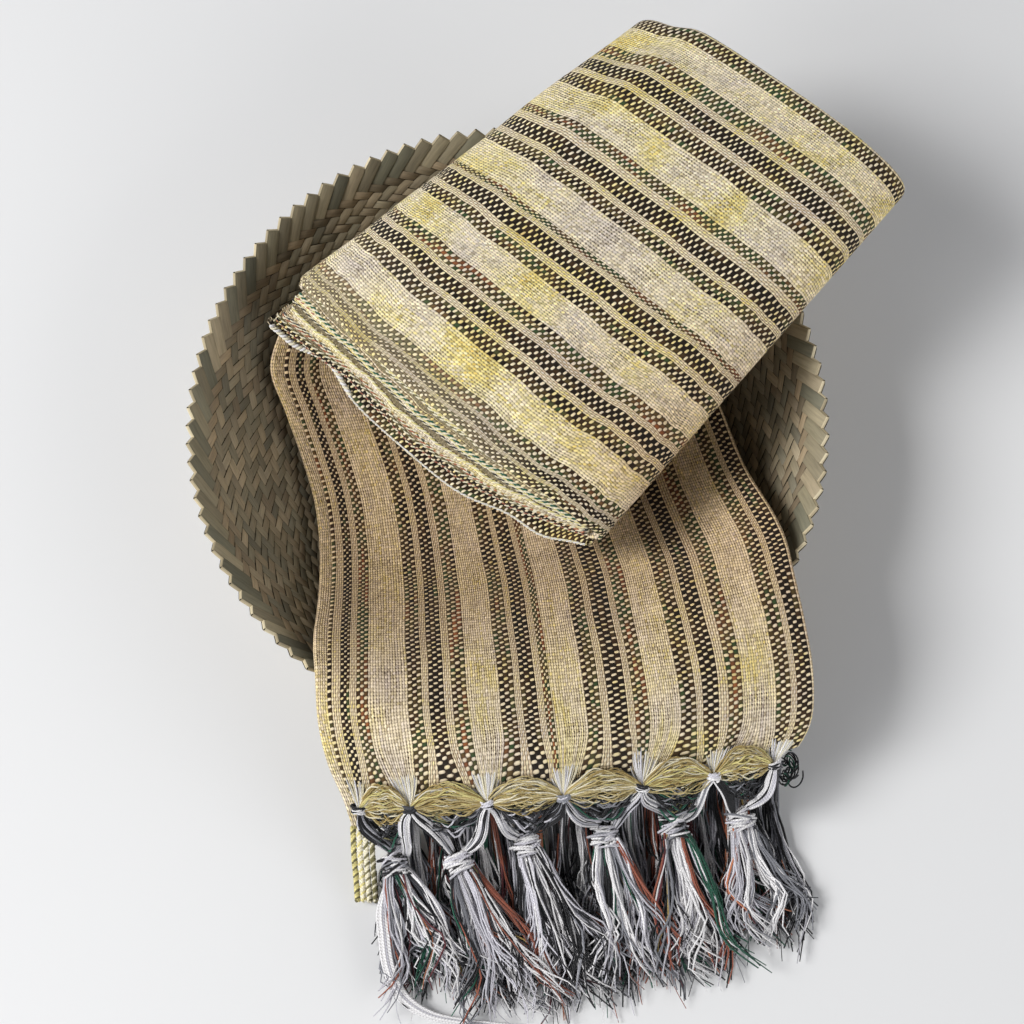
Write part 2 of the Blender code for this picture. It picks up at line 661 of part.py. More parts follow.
# One long lock lies round the left of the first tassel and on past its tips.
LONG_LOCK = (
    # x, y, z               size against its root
    (-0.0615, -0.2420, 0.0040, 1.1),
    (-0.0600, -0.2560, 0.0020, 1.2),
    (-0.0575, -0.2720, 0.0018, 1.2),
    (-0.0520, -0.2860, 0.0018, 1.2),
    (-0.0400, -0.2950, 0.0018, 1.1),
    (-0.0230, -0.2985, 0.0018, 1.0),
    (-0.0050, -0.3005, 0.0016, 0.8),
    (0.0050, -0.3010, 0.0014, 0.5),
)
LOCK_ROOT = 1                          # the strand it takes the place of


def uneven(number):
    """A repeatable value from -1 to 1 that differs from one strand to the next."""
    return 2.0 * ((math.sin(number * 12.9898 + 4.1) * 43758.5453) % 1.0) - 1.0


def build_tassel(index, row):
    """A knot with its strands, which fan out and settle on the surface below."""
    head = np.array(row[:3])
    tips = np.array((row[3], row[4], 0.0))
    ahead = unit((tips - head) * np.array([1.0, 1.0, 0.35]))
    sideways = unit(np.cross(ahead, np.array([0.0, 0.0, 1.0])))
    if sideways[0] < 0.0:
        sideways = -sideways
    upward = unit(np.cross(ahead, sideways))
    bm = bmesh.new()
    # Root face: a grid of cells, each split in two, at the head's lower end.
    grid = []
    for j in range(CELLS_UP + 1):
        line = []
        for i in range(CELLS_ACROSS + 1):
            a = 2.0 * i / CELLS_ACROSS - 1.0
            b = 2.0 * j / CELLS_UP - 1.0
            offset = sideways * a * HEAD_HALF[0] + upward * b * HEAD_HALF[1]
            line.append(bm.verts.new(head + ahead * HEAD_FRONT + offset))
        grid.append(line)
    roots = []
    for j in range(CELLS_UP):
        for i in range(CELLS_ACROSS):
            corner = (grid[j][i], grid[j][i + 1], grid[j + 1][i + 1], grid[j + 1][i])
            roots.append((bm.faces.new((corner[0], corner[1], corner[2])), i + 0.33, j))
            roots.append((bm.faces.new((corner[0], corner[2], corner[3])), i + 0.0, j + 0.4))
    # The knot itself: the grid's outline carried back over a waist and a bulge to a blunt top.
    outline = (grid[0][:-1] + [line[-1] for line in grid[:-1]] + grid[-1][:0:-1]
               + [line[0] for line in grid[:0:-1]])
    previous = outline
    for front, size in HEAD_SECTIONS:
        ring = []
        for vert in outline:
            offset = np.array(vert.co) - head - ahead * HEAD_FRONT
            ring.append(bm.verts.new(head + ahead * front + offset * size))
        for k in range(len(ring)):
            n = (k + 1) % len(ring)
            bm.faces.new((previous[k], previous[n], ring[n], ring[k]))
        previous = ring
    bm.faces.new(previous)
    bmesh.ops.recalc_face_normals(bm, faces=bm.faces)
    # The strands.
    for number, (face, across, up) in enumerate(roots):
        if index == 0 and number == LOCK_ROOT:
            lock = np.array(LONG_LOCK)
            draw_lock(bm, face, list(lock[:, :3]), lock[:, 3])
            continue
        start = np.array(face.calc_center_median())
        side_share = 2.0 * across / (CELLS_ACROSS - 0.67) - 1.0
        end = tips + sideways * side_share * row[5]
        end[2] = FLOOR_CLEARANCE + ROW_RISE * up
        reach = 0.98 + 0.12 * uneven(number + 40 * index) - 0.08 * side_share ** 2
        route = []
        for t in (*STRAND_PARTS, reach):
            point = mix(start, end, t)
            point[2] = mix(end[2], start[2], max(1.0 - t, 0.0) ** 2)
            route.append(point + sideways * CURL * math.sin(math.pi * 1.6 * t))
        draw_strand(bm, face, route, STRAND_SIZES)
    add_object(f"tassel_{index + 1}", bm, FRINGE_YARN)


# ---------------------------------------------------------------- build

build_basket()
build_strip()
build_wrap()
build_core()
build_leaf()
build_hem_knots()
build_under_fringe()
for tassel_index, tassel_row in enumerate(TASSELS):
    build_tassel(tassel_index, tassel_row)
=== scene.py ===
import math

import bpy
import numpy as np
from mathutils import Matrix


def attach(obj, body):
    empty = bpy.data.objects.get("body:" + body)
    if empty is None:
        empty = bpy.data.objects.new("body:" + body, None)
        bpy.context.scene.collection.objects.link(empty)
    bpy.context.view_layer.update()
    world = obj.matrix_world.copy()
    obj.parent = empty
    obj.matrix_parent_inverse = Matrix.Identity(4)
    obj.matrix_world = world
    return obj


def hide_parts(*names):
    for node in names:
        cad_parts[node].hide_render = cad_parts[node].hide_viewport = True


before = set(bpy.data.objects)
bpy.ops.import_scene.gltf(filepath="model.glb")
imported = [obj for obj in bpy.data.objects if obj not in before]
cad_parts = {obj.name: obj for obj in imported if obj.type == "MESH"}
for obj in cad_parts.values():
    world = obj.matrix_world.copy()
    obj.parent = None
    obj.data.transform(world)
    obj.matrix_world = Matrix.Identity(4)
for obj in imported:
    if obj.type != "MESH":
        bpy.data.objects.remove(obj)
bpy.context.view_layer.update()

# ---------------------------------------------------------------- camera, light and floor
# The basket stands on a pale seamless surface. Two soft windows light it from the left, the main
# one high up, with a weak fill from the front right, and the ceiling is dim over pale walls.
# Camera, lights and floor aren't part of the piece.

bpy.ops.object.camera_add(location=(0.0023, -0.3278, 0.9963),
                          rotation=(math.radians(90.0 - 73.3633), 0.0, 0.0))
camera = bpy.context.object
camera.data.lens_unit = "FOV"
camera.data.angle = math.radians(30.0)
bpy.context.scene.camera = camera

for name, place, turn, size, power in (
        # name, place, turn in degrees, width and height, power
        ("window_light", (-2.155, -0.15, 2.08), (46.0, 0.0, 274.0), (1.0, 1.2), 68.0),
        ("front_window", (-2.06, -1.29, 1.70), (55.0, 0.0, 302.0), (1.0, 1.1), 20.0),
        ("fill_light", (1.6, -1.0, 0.8), (67.0, 0.0, 58.0), (1.6, 1.2), 14.0)):
    bpy.ops.object.light_add(type="AREA", location=place,
                             rotation=[math.radians(angle) for angle in turn])
    lamp = bpy.context.object
    lamp.name = name
    lamp.data.shape = "RECTANGLE"
    lamp.data.size, lamp.data.size_y = size
    lamp.data.energy = power

bpy.context.scene.view_settings.view_transform = "Standard"


def srgb(red, green, blue):
    """A paint colour given in 0 to 255, as Blender's linear colour."""
    parts = [value / 255.0 for value in (red, green, blue)]
    linear = [v / 12.92 if v <= 0.04045 else ((v + 0.055) / 1.055) ** 2.4 for v in parts]
    return (*linear, 1.0)


def new_node(tree, kind, feeds=(), **settings):
    """A new node; feeds are sockets or numbers, each with its input's place or name."""
    node = tree.nodes.new("ShaderNode" + kind)
    for name, value in settings.items():
        setattr(node, name, value)
    for entry, value in feeds:
        if isinstance(value, bpy.types.NodeSocket):
            tree.links.new(value, node.inputs[entry])
        else:
            node.inputs[entry].default_value = value
    return node


def sum_of(tree, operation, *values):
    """The result of one Math node."""
    return new_node(tree, "Math", enumerate(values), operation=operation).outputs[0]


def vector_of(tree, *values):
    """A vector from three sockets or numbers."""
    return new_node(tree, "CombineXYZ", enumerate(values)).outputs[0]


def eased(tree, value, low, high):
    """0 below low, 1 above high and a smooth step between them, or the other way round."""
    rising = low < high
    return new_node(tree, "MapRange", (
        ("Value", value), ("From Min", min(low, high)), ("From Max", max(low, high)),
        ("To Min", 0.0 if rising else 1.0), ("To Max", 1.0 if rising else 0.0)),
        interpolation_type="SMOOTHSTEP").outputs["Result"]


def noise_of(tree, vector, scale, detail=1.0, roughness=0.5):
    """Smooth noise from 0 to 1."""
    return new_node(tree, "TexNoise", (("Vector", vector), ("Scale", scale), ("Detail", detail),
                                       ("Roughness", roughness))).outputs["Fac"]


def shades_of(tree, value, stops, steps=False):
    """A row of colours by value; each stop is (place, colour)."""
    node = new_node(tree, "ValToRGB", (("Fac", value),))
    node.color_ramp.interpolation = "CONSTANT" if steps else "LINEAR"
    elements = node.color_ramp.elements
    elements[0].position, elements[0].color = stops[0]
    elements[1].position, elements[1].color = stops[-1]
    for place, colour in stops[1:-1]:
        elements.new(place).color = colour
    return node.outputs["Color"]


def mixed(tree, share, first, second, way="MIX"):
    """Two colours mixed by a share, each a socket or a colour."""
    return new_node(tree, "Mix", ((0, share), (6, first), (7, second)), data_type="RGBA",
                    blend_type=way).outputs[2]


def finish(name, roughness):
    """A new material; returns it with its node tree and its shader."""
    material = bpy.data.materials.new(name)
    material.use_nodes = True
    shader = material.node_tree.nodes["Principled BSDF"]
    shader.inputs["Roughness"].default_value = roughness
    return material, material.node_tree, shader


def raised(tree, shader, height, strength, distance):
    """Feeds a height through a Bump node to the shader's normal."""
    bump = new_node(tree, "Bump", (("Strength", strength), ("Distance", distance),
                                   ("Height", height)))
    tree.links.new(bump.outputs["Normal"], shader.inputs["Normal"])


sky = bpy.data.worlds.new("pale_room")
bpy.context.scene.world = sky
sky.use_nodes = True
walls = sky.node_tree.nodes["Background"]
walls.inputs["Color"].default_value = (0.93, 0.95, 1.0, 1.0)
heading = new_node(sky.node_tree, "TexCoord")
height = new_node(sky.node_tree, "SeparateXYZ", (("Vector", heading.outputs["Generated"]),))
dimmed = new_node(sky.node_tree, "MapRange", (
    ("Value", height.outputs["Z"]), ("From Min", 0.3), ("From Max", 0.9), ("To Min", 0.60),
    ("To Max", 0.04)))
sky.node_tree.links.new(dimmed.outputs["Result"], walls.inputs["Strength"])

bpy.ops.mesh.primitive_plane_add(size=8.0, location=(0.0, 0.0, -0.0004))
floor = bpy.context.object
floor.name = "pale_floor"
paper, tree, shader = finish("pale_surface", 0.75)
place = new_node(tree, "TexCoord")
tree.links.new(shades_of(tree, noise_of(tree, place.outputs["Object"], 3.0),
                         ((0.3, (0.79, 0.79, 0.79, 1.0)), (0.7, (0.81, 0.81, 0.81, 1.0)))),
               shader.inputs["Base Color"])
floor.data.materials.append(paper)

# ---------------------------------------------------------------- basket
# A shallow bowl plaited from flat palm strips, two layers laid crosswise over and under two at a
# time, so that short floats lean one way in one round and the other way in the next. At the rim
# each strip folds back over the edge, which leaves a row of square-cornered teeth.

RIM_RADIUS = 0.165
RIM_HEIGHT = 0.068
FOOT_RADIUS = 0.100
BASKET_WALL = 0.003
BASKET_FLARE = 1.6                     # how much the wall steepens towards the rim
TEETH = 105
TEETH_RADIUS = 0.160                   # where the width of the rim's strips is measured
RIM_CELLS = 3                          # length of the rim's strips, in widths
TOOTH_OUT = 0.0016                     # how far the teeth reach past the rim
PAST_RIM = 0.008                       # how far the wall's line is carried on upwards
SQUEEZE = 0.60                         # the plait is pulled tight along the wall


def run_along(points):
    """Distance along a line from its first point to each of its points."""
    return np.concatenate([[0.0], np.cumsum(np.linalg.norm(np.diff(points, axis=0), axis=1))])


t = np.linspace(1.0, 0.0, 400)
wall_outer = np.stack([FOOT_RADIUS + (RIM_RADIUS - FOOT_RADIUS) * t,
                       RIM_HEIGHT * t ** BASKET_FLARE], axis=1)
wall_along = np.gradient(wall_outer, axis=0)
wall_along /= np.linalg.norm(wall_along, axis=1)[:, None]
wall_face = np.stack([wall_along[:, 1], -wall_along[:, 0]], axis=1)
wall_middle = wall_outer + wall_face * BASKET_WALL / 2.0
past_rim = wall_middle[0] - wall_along[0] * PAST_RIM
flat_floor = [[radius, BASKET_WALL / 2.0] for radius in np.linspace(0.098, 0.0, 60)]
wall_middle = np.concatenate([[past_rim], wall_middle, flat_floor])
wall_face = np.concatenate([[wall_face[0]], wall_face, [[0.0, 1.0]] * len(flat_floor)])
wall_depth = run_along(wall_middle) - (PAST_RIM - TOOTH_OUT)     # 0 at the tips of the teeth


def wall_point(turn, depth, lift):
    """Point on the bowl by turn, depth below the teeth's tips and lift off the wall's middle."""
    radius, height = [np.interp(depth, wall_depth, wall_middle[:, axis])
                      + lift * np.interp(depth, wall_depth, wall_face[:, axis])
                      for axis in (0, 1)]
    return np.stack([radius * np.cos(turn), radius * np.sin(turn), height], axis=-1)


def mesh_piece(name, points, faces, material, places=None, tones=None, loose=None, warmth=None):
    """A piece from arrays of points and faces, with its own map, colours and thread values."""
    mesh = bpy.data.meshes.new(name)
    mesh.from_pydata(np.asarray(points).reshape(-1, 3).tolist(), [], np.asarray(faces).tolist())
    mesh.shade_smooth()
    if places is not None:
        corners = np.empty(len(mesh.loops), dtype=np.int64)
        mesh.loops.foreach_get("vertex_index", corners)
        layer = mesh.uv_layers.new(name="place")
        layer.data.foreach_set("uv", np.asarray(places).reshape(-1, 2)[corners].ravel())
    if tones is not None:
        colours = mesh.color_attributes.new("tone", "FLOAT_COLOR", "POINT")
        colours.data.foreach_set("color", np.asarray(tones).reshape(-1, 4).ravel())
    for kind, values in (("loose", loose), ("warmth", warmth)):
        if values is not None:
            layer = mesh.attributes.new(kind, "FLOAT", "POINT")
            layer.data.foreach_set("value", np.asarray(values, dtype=float).ravel())
    mesh.materials.append(material)
    piece = bpy.data.objects.new(name, mesh)
    bpy.context.scene.collection.objects.link(piece)
    return piece


def thicken(piece, thickness, offset):
    """Gives an open sheet its thickness, as Solidify does."""
    bpy.ops.object.select_all(action="DESELECT")
    bpy.context.view_layer.objects.active = piece
    piece.select_set(True)
    solid = piece.modifiers.new("thickness", "SOLIDIFY")
    solid.thickness, solid.offset = thickness, offset
    bpy.ops.object.modifier_apply(modifier="thickness")


def patch_faces(rows, columns, patches, around=False):
    """Quads of many equal patches of points, each a number of rows by a number of columns."""
    index = np.arange(rows * columns).reshape(rows, columns)
    beside = np.roll(index, -1, axis=1) if around else index[:, 1:]
    index = index if around else index[:, :-1]
    quads = np.stack([index[:-1], beside[:-1], beside[1:], index[1:]], axis=-1).reshape(-1, 4)
    return (quads[None] + np.arange(patches)[:, None, None] * rows * columns).reshape(-1, 4)


def uneven(*shape):
    """Repeatable values from 0 to 1."""
    return chance.random(shape)


chance = np.random.default_rng(7)

# The plain inner bowl that the floats lie on.
rings = [[float(np.interp(depth, wall_depth, wall_middle[:, axis])) for axis in (0, 1)]
         for depth in np.linspace(0.0075, np.interp(-0.02, -wall_middle[:, 0], wall_depth), 22)]
bpy.ops.object.select_all(action="DESELECT")
bpy.ops.mesh.primitive_circle_add(vertices=120, radius=rings[0][0], fill_type="NOTHING",
                                  location=(0.0, 0.0, rings[0][1]))
bowl = bpy.context.object
bowl.name = "basket_ground"
bpy.ops.object.mode_set(mode="EDIT")
bpy.ops.mesh.select_all(action="SELECT")
for (wide, high), (narrow, low) in zip(rings, rings[1:]):
    bpy.ops.mesh.extrude_region_move(TRANSFORM_OT_translate={"value": (0.0, 0.0, low - high)})
    bpy.ops.transform.resize(value=(narrow / wide, narrow / wide, 1.0),
                             center_override=(0.0, 0.0, low))
bpy.ops.mesh.edge_face_add()
bpy.ops.mesh.select_all(action="SELECT")
bpy.ops.mesh.normals_make_consistent(inside=True)
bpy.ops.object.mode_set(mode="OBJECT")
bpy.ops.object.transform_apply(location=True, rotation=True, scale=True)
thicken(bowl, 0.0018, 0.0)
bpy.ops.object.shade_smooth()


def own_map(tree):
    """Across and along on a piece's own map."""
    place = new_node(tree, "UVMap", uv_map="place")
    parts = new_node(tree, "SeparateXYZ", (("Vector", place.outputs["UV"]),))
    return parts.outputs["X"], parts.outputs["Y"]


palm, tree, shader = finish("dried_palm", 0.62)
tone = new_node(tree, "Attribute", attribute_name="tone")
across, along = own_map(tree)
fibre = noise_of(tree, vector_of(tree, sum_of(tree, "MULTIPLY", across, 5.0),
                                 sum_of(tree, "MULTIPLY", along, 60.0), 0.0),
                 1.0, detail=3.0, roughness=0.6)
streak = shades_of(tree, fibre, ((0.25, (0.70, 0.69, 0.66, 1.0)), (0.5, (0.98, 0.98, 0.98, 1.0)),
                                 (0.78, (1.20, 1.18, 1.12, 1.0))))
# Painted shade: each strip darkens towards its long edges, where it meets its neighbours.
from_middle = sum_of(tree, "SUBTRACT", sum_of(tree, "FRACT", across), 0.5)
edge = eased(tree, sum_of(tree, "ABSOLUTE", from_middle), 0.43, 0.5)
worn = mixed(tree, 1.0, tone.outputs["Color"], streak, "MULTIPLY")
tree.links.new(mixed(tree, edge, worn, mixed(tree, 1.0, worn, (0.72, 0.70, 0.64, 1.0), "MULTIPLY")),
               shader.inputs["Base Color"])
raised(tree, shader, fibre, 0.35, 0.0004)

# The underlayer seen between the floats is painted dark brown: painted shade in the gaps.
ground, tree, shader = finish("palm_underlayer_shade_dark", 0.8)
place = new_node(tree, "TexCoord")
tree.links.new(shades_of(tree, noise_of(tree, place.outputs["Object"], 240.0, 3.0),
                         ((0.3, srgb(44, 39, 27)), (0.7, srgb(70, 63, 45)))),
               shader.inputs["Base Color"])
raised(tree, shader, noise_of(tree, place.outputs["Object"], 700.0, 3.0), 0.4, 0.0004)
bowl.data.materials.append(ground)
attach(bowl, "root")
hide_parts("basket")

RIM_SHADES, SECOND_SHADES, PALM_SHADES, FOLD_SHADES = [[srgb(*shade) for shade in shades]
                                                       for shades in (
    ((158, 149, 123), (140, 135, 114), (174, 162, 134), (126, 123, 104), (184, 169, 140),
     (150, 140, 116)),
    ((166, 146, 117), (150, 133, 108), (178, 158, 128), (138, 125, 102), (160, 142, 115)),
    ((158, 146, 121), (146, 137, 114), (170, 156, 130), (178, 161, 132), (154, 138, 113),
     (138, 131, 111), (148, 137, 113), (166, 150, 122)),
    ((206, 192, 158), (186, 172, 140), (214, 201, 168), (166, 153, 124)))]


def shaded(shades, count):
    """A colour for each strip, drawn from the palm's shades."""
    return np.array(shades)[(uneven(count) * len(shades)).astype(int)]


def palm_floats(turns, depths, lengths, widths, leans, face, rise, ends, shades, squeeze=1.0):
    """Slightly arched strips of palm; each lies on the wall at its own lean off the rim's line."""
    along = np.array([-1.0, -0.82, 0.0, 0.82, 1.0])
    across = np.array([-1.0, -0.66, 0.66, 1.0])
    a = along[None, :, None] * (lengths / 2.0)[:, None, None]
    b = across[None, None, :] * (widths / 2.0)[:, None, None]
    cosine, sine = np.cos(leans)[:, None, None], np.sin(leans)[:, None, None]
    down = depths[:, None, None] + squeeze * (a * sine + b * cosine)
    radius = np.interp(depths, wall_depth, wall_middle[:, 0])[:, None, None]
    turn = turns[:, None, None] + (a * cosine - b * sine) / radius
    crown = (1.0 - 0.14 * across ** 2 - 0.22 * across ** 8 + 0.28 * across)[None, None, :]
    arch = (1.0 - 0.85 * np.abs(along) ** 8)[None, :, None]
    lift = rise[0] + (rise[1] + 0.00020 * uneven(len(turns), 1, 1)) * crown * arch
    if ends:
        lift = np.where(along[None, :, None] < -0.5, np.maximum(lift, 0.0004), lift)
    points = wall_point(turn, down, face * lift)
    number = np.arange(len(turns))[:, None, None]
    places = np.stack(np.broadcast_arrays(number + (across[None, None, :] + 1.0) * 0.5 * 0.98,
                                          number * 0.37 + a * 1.0), axis=-1)
    shade = shaded(shades, len(turns))
    shade[:, :3] *= (0.76 + 0.40 * uneven(len(turns), 1))
    tones = np.broadcast_to(shade[:, None, None, :], points.shape[:3] + (4,))
    faces = patch_faces(len(along), len(across), len(turns))
    if face > 0.0:
        faces = faces[:, ::-1]
    return points.reshape(-1, 3), faces, places.reshape(-1, 2), tones.reshape(-1, 4)


def join_parts(name, parts, material):
    """One mesh piece from several lots of points, faces, places and tones."""
    offsets = np.cumsum([0] + [len(part[0]) for part in parts[:-1]])
    faces = np.concatenate([part[1] + offset for part, offset in zip(parts, offsets)])
    return mesh_piece(name, np.concatenate([part[0] for part in parts]), faces, material,
                      np.concatenate([part[2] for part in parts]),
                      np.concatenate([part[3] for part in parts]))


steps = np.arange(TEETH) * (2.0 * math.pi / TEETH)
for face, side, name in ((1.0, 1.0, "palm_floats_inside"), (-1.0, -1.0, "palm_floats_outside")):
    lots = []
    pitch = 2.0 * math.pi * TEETH_RADIUS / TEETH
    width = pitch / math.sqrt(2.0)
    # Rim strips: from a tooth's square end inwards.
    length = RIM_CELLS * width
    middle = (length / 2.0 + width / 2.0) / math.sqrt(2.0)
    shift = (length / 2.0 - width / 2.0) / math.sqrt(2.0) / TEETH_RADIUS
    lots.append(palm_floats(steps + side * shift, np.full(TEETH, middle),
                            np.full(TEETH, length), np.full(TEETH, width * 0.985),
                            np.full(TEETH, math.pi / 2.0 - side * math.pi / 4.0), face,
                            (0.0008, 0.0009), True, RIM_SHADES))
    depth = RIM_CELLS / 2.0 * pitch
    row = 1
    while True:
        radius = float(np.interp(depth, wall_depth, wall_middle[:, 0]))
        if radius < (0.045 if face > 0.0 else FOOT_RADIUS):
            break
        pitch = 2.0 * math.pi * radius / TEETH
        width = pitch / math.sqrt(2.0)
        lean = math.pi / 2.0 + side * (1.0 if row % 2 else -1.0) * math.pi / 4.0
        shift = side * ((-0.25 if row % 2 else 0.25) + 0.5 * (RIM_CELLS % 2)) * (
            2.0 * math.pi / TEETH)
        lots.append(palm_floats(steps + shift, np.full(TEETH, depth + 0.75 * pitch * SQUEEZE),
                                np.full(TEETH, width * 1.99), np.full(TEETH, width * 0.985),
                                np.full(TEETH, lean), face, (0.0007, 0.0008), False,
                                SECOND_SHADES if row == 1 else PALM_SHADES, SQUEEZE))
        depth += pitch * SQUEEZE
        row += 1
    floats = join_parts(name, lots, palm)
    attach(floats, "root")
    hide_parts("basket")

# Where the rim's strips fold back from one face to the other: a narrow band on both sides of
# every tooth.
pitch = 2.0 * math.pi / TEETH
SLANT = 0.7                            # how far the fold's sag counts along and across the rim
over = np.linspace(-1.0, 1.0, 7)
lots = []
for side in (-1.0, 1.0):
    share = np.linspace(0.0, 1.0, 5)[None, :, None]
    sag = 0.0005 * (1.0 - over ** 2)[None, None, :]
    turn = steps[:, None, None] + side * (share * pitch / 2.0 + sag * SLANT / RIM_RADIUS)
    depth = share * pitch * TEETH_RADIUS / 2.0 - sag * SLANT
    points = wall_point(*np.broadcast_arrays(turn, depth, 0.0010 * over[None, None, :]))
    number = np.arange(TEETH)[:, None, None]
    places = np.stack(np.broadcast_arrays(number + 0.1 + 0.8 * (over[None, None, :] + 1.0) / 2.0,
                                          number * 0.37 + share * 0.006), axis=-1)
    tones = np.broadcast_to(shaded(FOLD_SHADES, TEETH)[:, None, None, :], points.shape[:3] + (4,))
    faces = patch_faces(share.size, over.size, TEETH)
    lots.append((points.reshape(-1, 3), faces[:, ::-1] if side > 0.0 else faces,
                 places.reshape(-1, 2), tones.reshape(-1, 4)))
folds = join_parts("palm_rim_folds", lots, palm)
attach(folds, "root")
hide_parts("basket")

# ---------------------------------------------------------------- handwoven striped cotton
# The shawl is plain weave on a treadle loom, with a cream weft. One repeat of the warp is dark 6,
# pale 4, black 6, pale 4, olive 6 and light 14, counted in fine threads; the dark ones are space
# dyed and lie in pairs. A piece's map gives thread number across and pick number along.

REPEAT = 40.0                          # fine threads in one repeat of the stripes
STRIPE_STARTS = (0.0, 6.0, 10.0, 16.0, 20.0, 26.0)

weave = bpy.data.node_groups.new("handwoven_stripes", "ShaderNodeTree")
for entry, way, kind in (("Threads", "INPUT", "Vector"), ("Loose", "INPUT", "Float"),
                         ("Warmth", "INPUT", "Float"), ("Colour", "OUTPUT", "Color"),
                         ("Height", "OUTPUT", "Float")):
    weave.interface.new_socket(entry, in_out=way, socket_type="NodeSocket" + kind)
given = weave.nodes.new("NodeGroupInput")
result = weave.nodes.new("NodeGroupOutput")
parts = new_node(weave, "SeparateXYZ", (("Vector", given.outputs["Threads"]),))
thread, pick = parts.outputs["X"], parts.outputs["Y"]


def woven(operation, *values):
    """A Math node of the weave."""
    return sum_of(weave, operation, *values)


def plus(*values):
    """Two values added."""
    return woven("ADD", *values)


def less(*values):
    """The first value less the second."""
    return woven("SUBTRACT", *values)


def times(*values):
    """Two values multiplied."""
    return woven("MULTIPLY", *values)


def power(*values):
    """The first value to the power of the second."""
    return woven("POWER", *values)


def floor_of(value):
    """A value's whole part."""
    return woven("FLOOR", value)


def out_from_middle(value):
    """0 in the middle of each whole step of a value, and 1 where it starts and ends."""
    return woven("ABSOLUTE", less(times(woven("FRACT", value), 2.0), 1.0))


def patchy(across, across_scale, along, along_scale, seed, detail=1.0, roughness=0.5):
    """Noise over the cloth, drawn out along the threads by its two scales."""
    place = vector_of(weave, times(across, across_scale), times(along, along_scale), seed)
    return noise_of(weave, place, 1.0, detail, roughness)


def tinted(cloth, value, stops):
    """The cloth multiplied by a row of greys or tints."""
    return mixed(weave, 1.0, cloth, shades_of(weave, value, stops), "MULTIPLY")


# Threads wander a little and picks bow.
drift = patchy(thread, 0.11, pick, 0.05, 0.0, 2.0)
bow = patchy(thread, 0.05, pick, 0.09, 7.0, 2.0)
thread = plus(thread, times(less(drift, 0.5), 1.3))
pick = plus(pick, times(less(bow, 0.5), 2.2))

# What stripe a thread belongs to. The first marks give dark threads, their shade and the light
# band; the second give where the stripe starts, its columns a thread and how slim its weft shows.
local = woven("WRAP", thread, REPEAT, 0.0)
marks = []
for values in (((1.0, 0.16, 0.0), (0.0, 0.5, 0.0), (1.0, 0.0, 0.0), (0.0, 0.5, 0.0),
                (1.0, 0.30, 0.0), (0.0, 0.5, 1.0)),
               ((0.0, 0.5, 0.40), (6.0, 1.0, 0.1), (10.0, 0.5, 0.62), (16.0, 1.0, 0.1),
                (20.0, 0.5, 0.25), (26.0, 1.0, 0.1))):
    stops = [(place / REPEAT, (*value, 1.0)) for place, value in zip(STRIPE_STARTS, values)]
    stripe = shades_of(weave, woven("DIVIDE", local, REPEAT), stops, steps=True)
    split = new_node(weave, "SeparateColor", (("Color", stripe),))
    marks += [split.outputs[name] for name in ("Red", "Green", "Blue")]
dark, shade, light, start, columns, slim = marks
loose = given.outputs["Loose"]
shade_warmth = woven("MAXIMUM", given.outputs["Warmth"], 0.0)                  # painted shade: darker and warmer
paled = woven("MAXIMUM", times(given.outputs["Warmth"], -1.0), 0.0)
pale_line = times(less(1.0, dark), less(1.0, light))

# Where a point lies between threads and between picks, and which of the two is on top.
wide = times(less(local, start), columns)
pick = plus(pick, times(less(woven("FRACT", wide), 0.5), 0.25))
column, row = floor_of(wide), floor_of(pick)
across, along = out_from_middle(wide), out_from_middle(pick)
turn = woven("GREATER_THAN", woven("WRAP", plus(column, row), 2.0, 0.0), 0.5)         # weft on top
column = plus(column, plus(start, times(floor_of(woven("DIVIDE", thread, REPEAT)), 37.0)))
beaten = patchy(column, 0.9, row, 0.35, 41.0)          # how thick the weft is at a crossing
slim = times(slim, less(1.0, times(loose, 0.6)))
round_weft = woven("DIVIDE",
                   plus(times(power(times(across, plus(1.0, times(slim, 0.42))), 4.0), 0.62),
                        power(times(along, plus(1.0, times(slim, 0.80))), 2.2)),
                   plus(0.55, times(beaten, 0.80)))
dot = times(turn, eased(weave, round_weft, 1.2, 0.75))
dot = times(dot, less(1.0, times(times(light, loose), 0.75)))

# Colours of warp and weft.
dye = plus(patchy(column, 2.7, pick, 0.055, 3.0, 1.5), times(shade_warmth, 0.03))
dark_warp = shades_of(weave, plus(dye, times(shade, 0.8)), (
    (0.0, srgb(22, 15, 6)), (0.54, srgb(32, 23, 10)), (0.61, srgb(66, 46, 25)),
    (0.68, srgb(84, 72, 40)), (0.74, srgb(52, 78, 46)), (0.80, srgb(96, 80, 48)),
    (0.88, srgb(124, 76, 48)), (1.0, srgb(166, 104, 60))))
# Where warmth is below zero, the dark warp turns paler.
dark_warp = mixed(weave, times(paled, 0.85), dark_warp, srgb(186, 170, 136))
zone = patchy(thread, 0.040, pick, 0.050, 51.0, 1.5)   # the dyed weft goes from lilac to yellow
zone = less(zone, times(shade_warmth, times(less(zone, 0.44), 0.75)))
pale = plus(times(patchy(column, 1.7, pick, 0.06, 11.0, 1.5), 0.5), times(zone, 0.5))
pale_warp = shades_of(weave, pale, (
    (0.36, srgb(222, 211, 200)), (0.43, srgb(238, 226, 202)), (0.50, srgb(245, 232, 198)),
    (0.56, srgb(243, 231, 176)), (0.63, srgb(238, 220, 144))))
line_warp = shades_of(weave, pale, ((0.35, srgb(212, 190, 160)), (0.5, srgb(236, 219, 186)),
                                    (0.65, srgb(230, 213, 156))))
warp = mixed(weave, dark, mixed(weave, light, line_warp, pale_warp), dark_warp)
streak = patchy(thread, 0.22, row, 1.9, 23.0)          # single picks turn yellow for a while
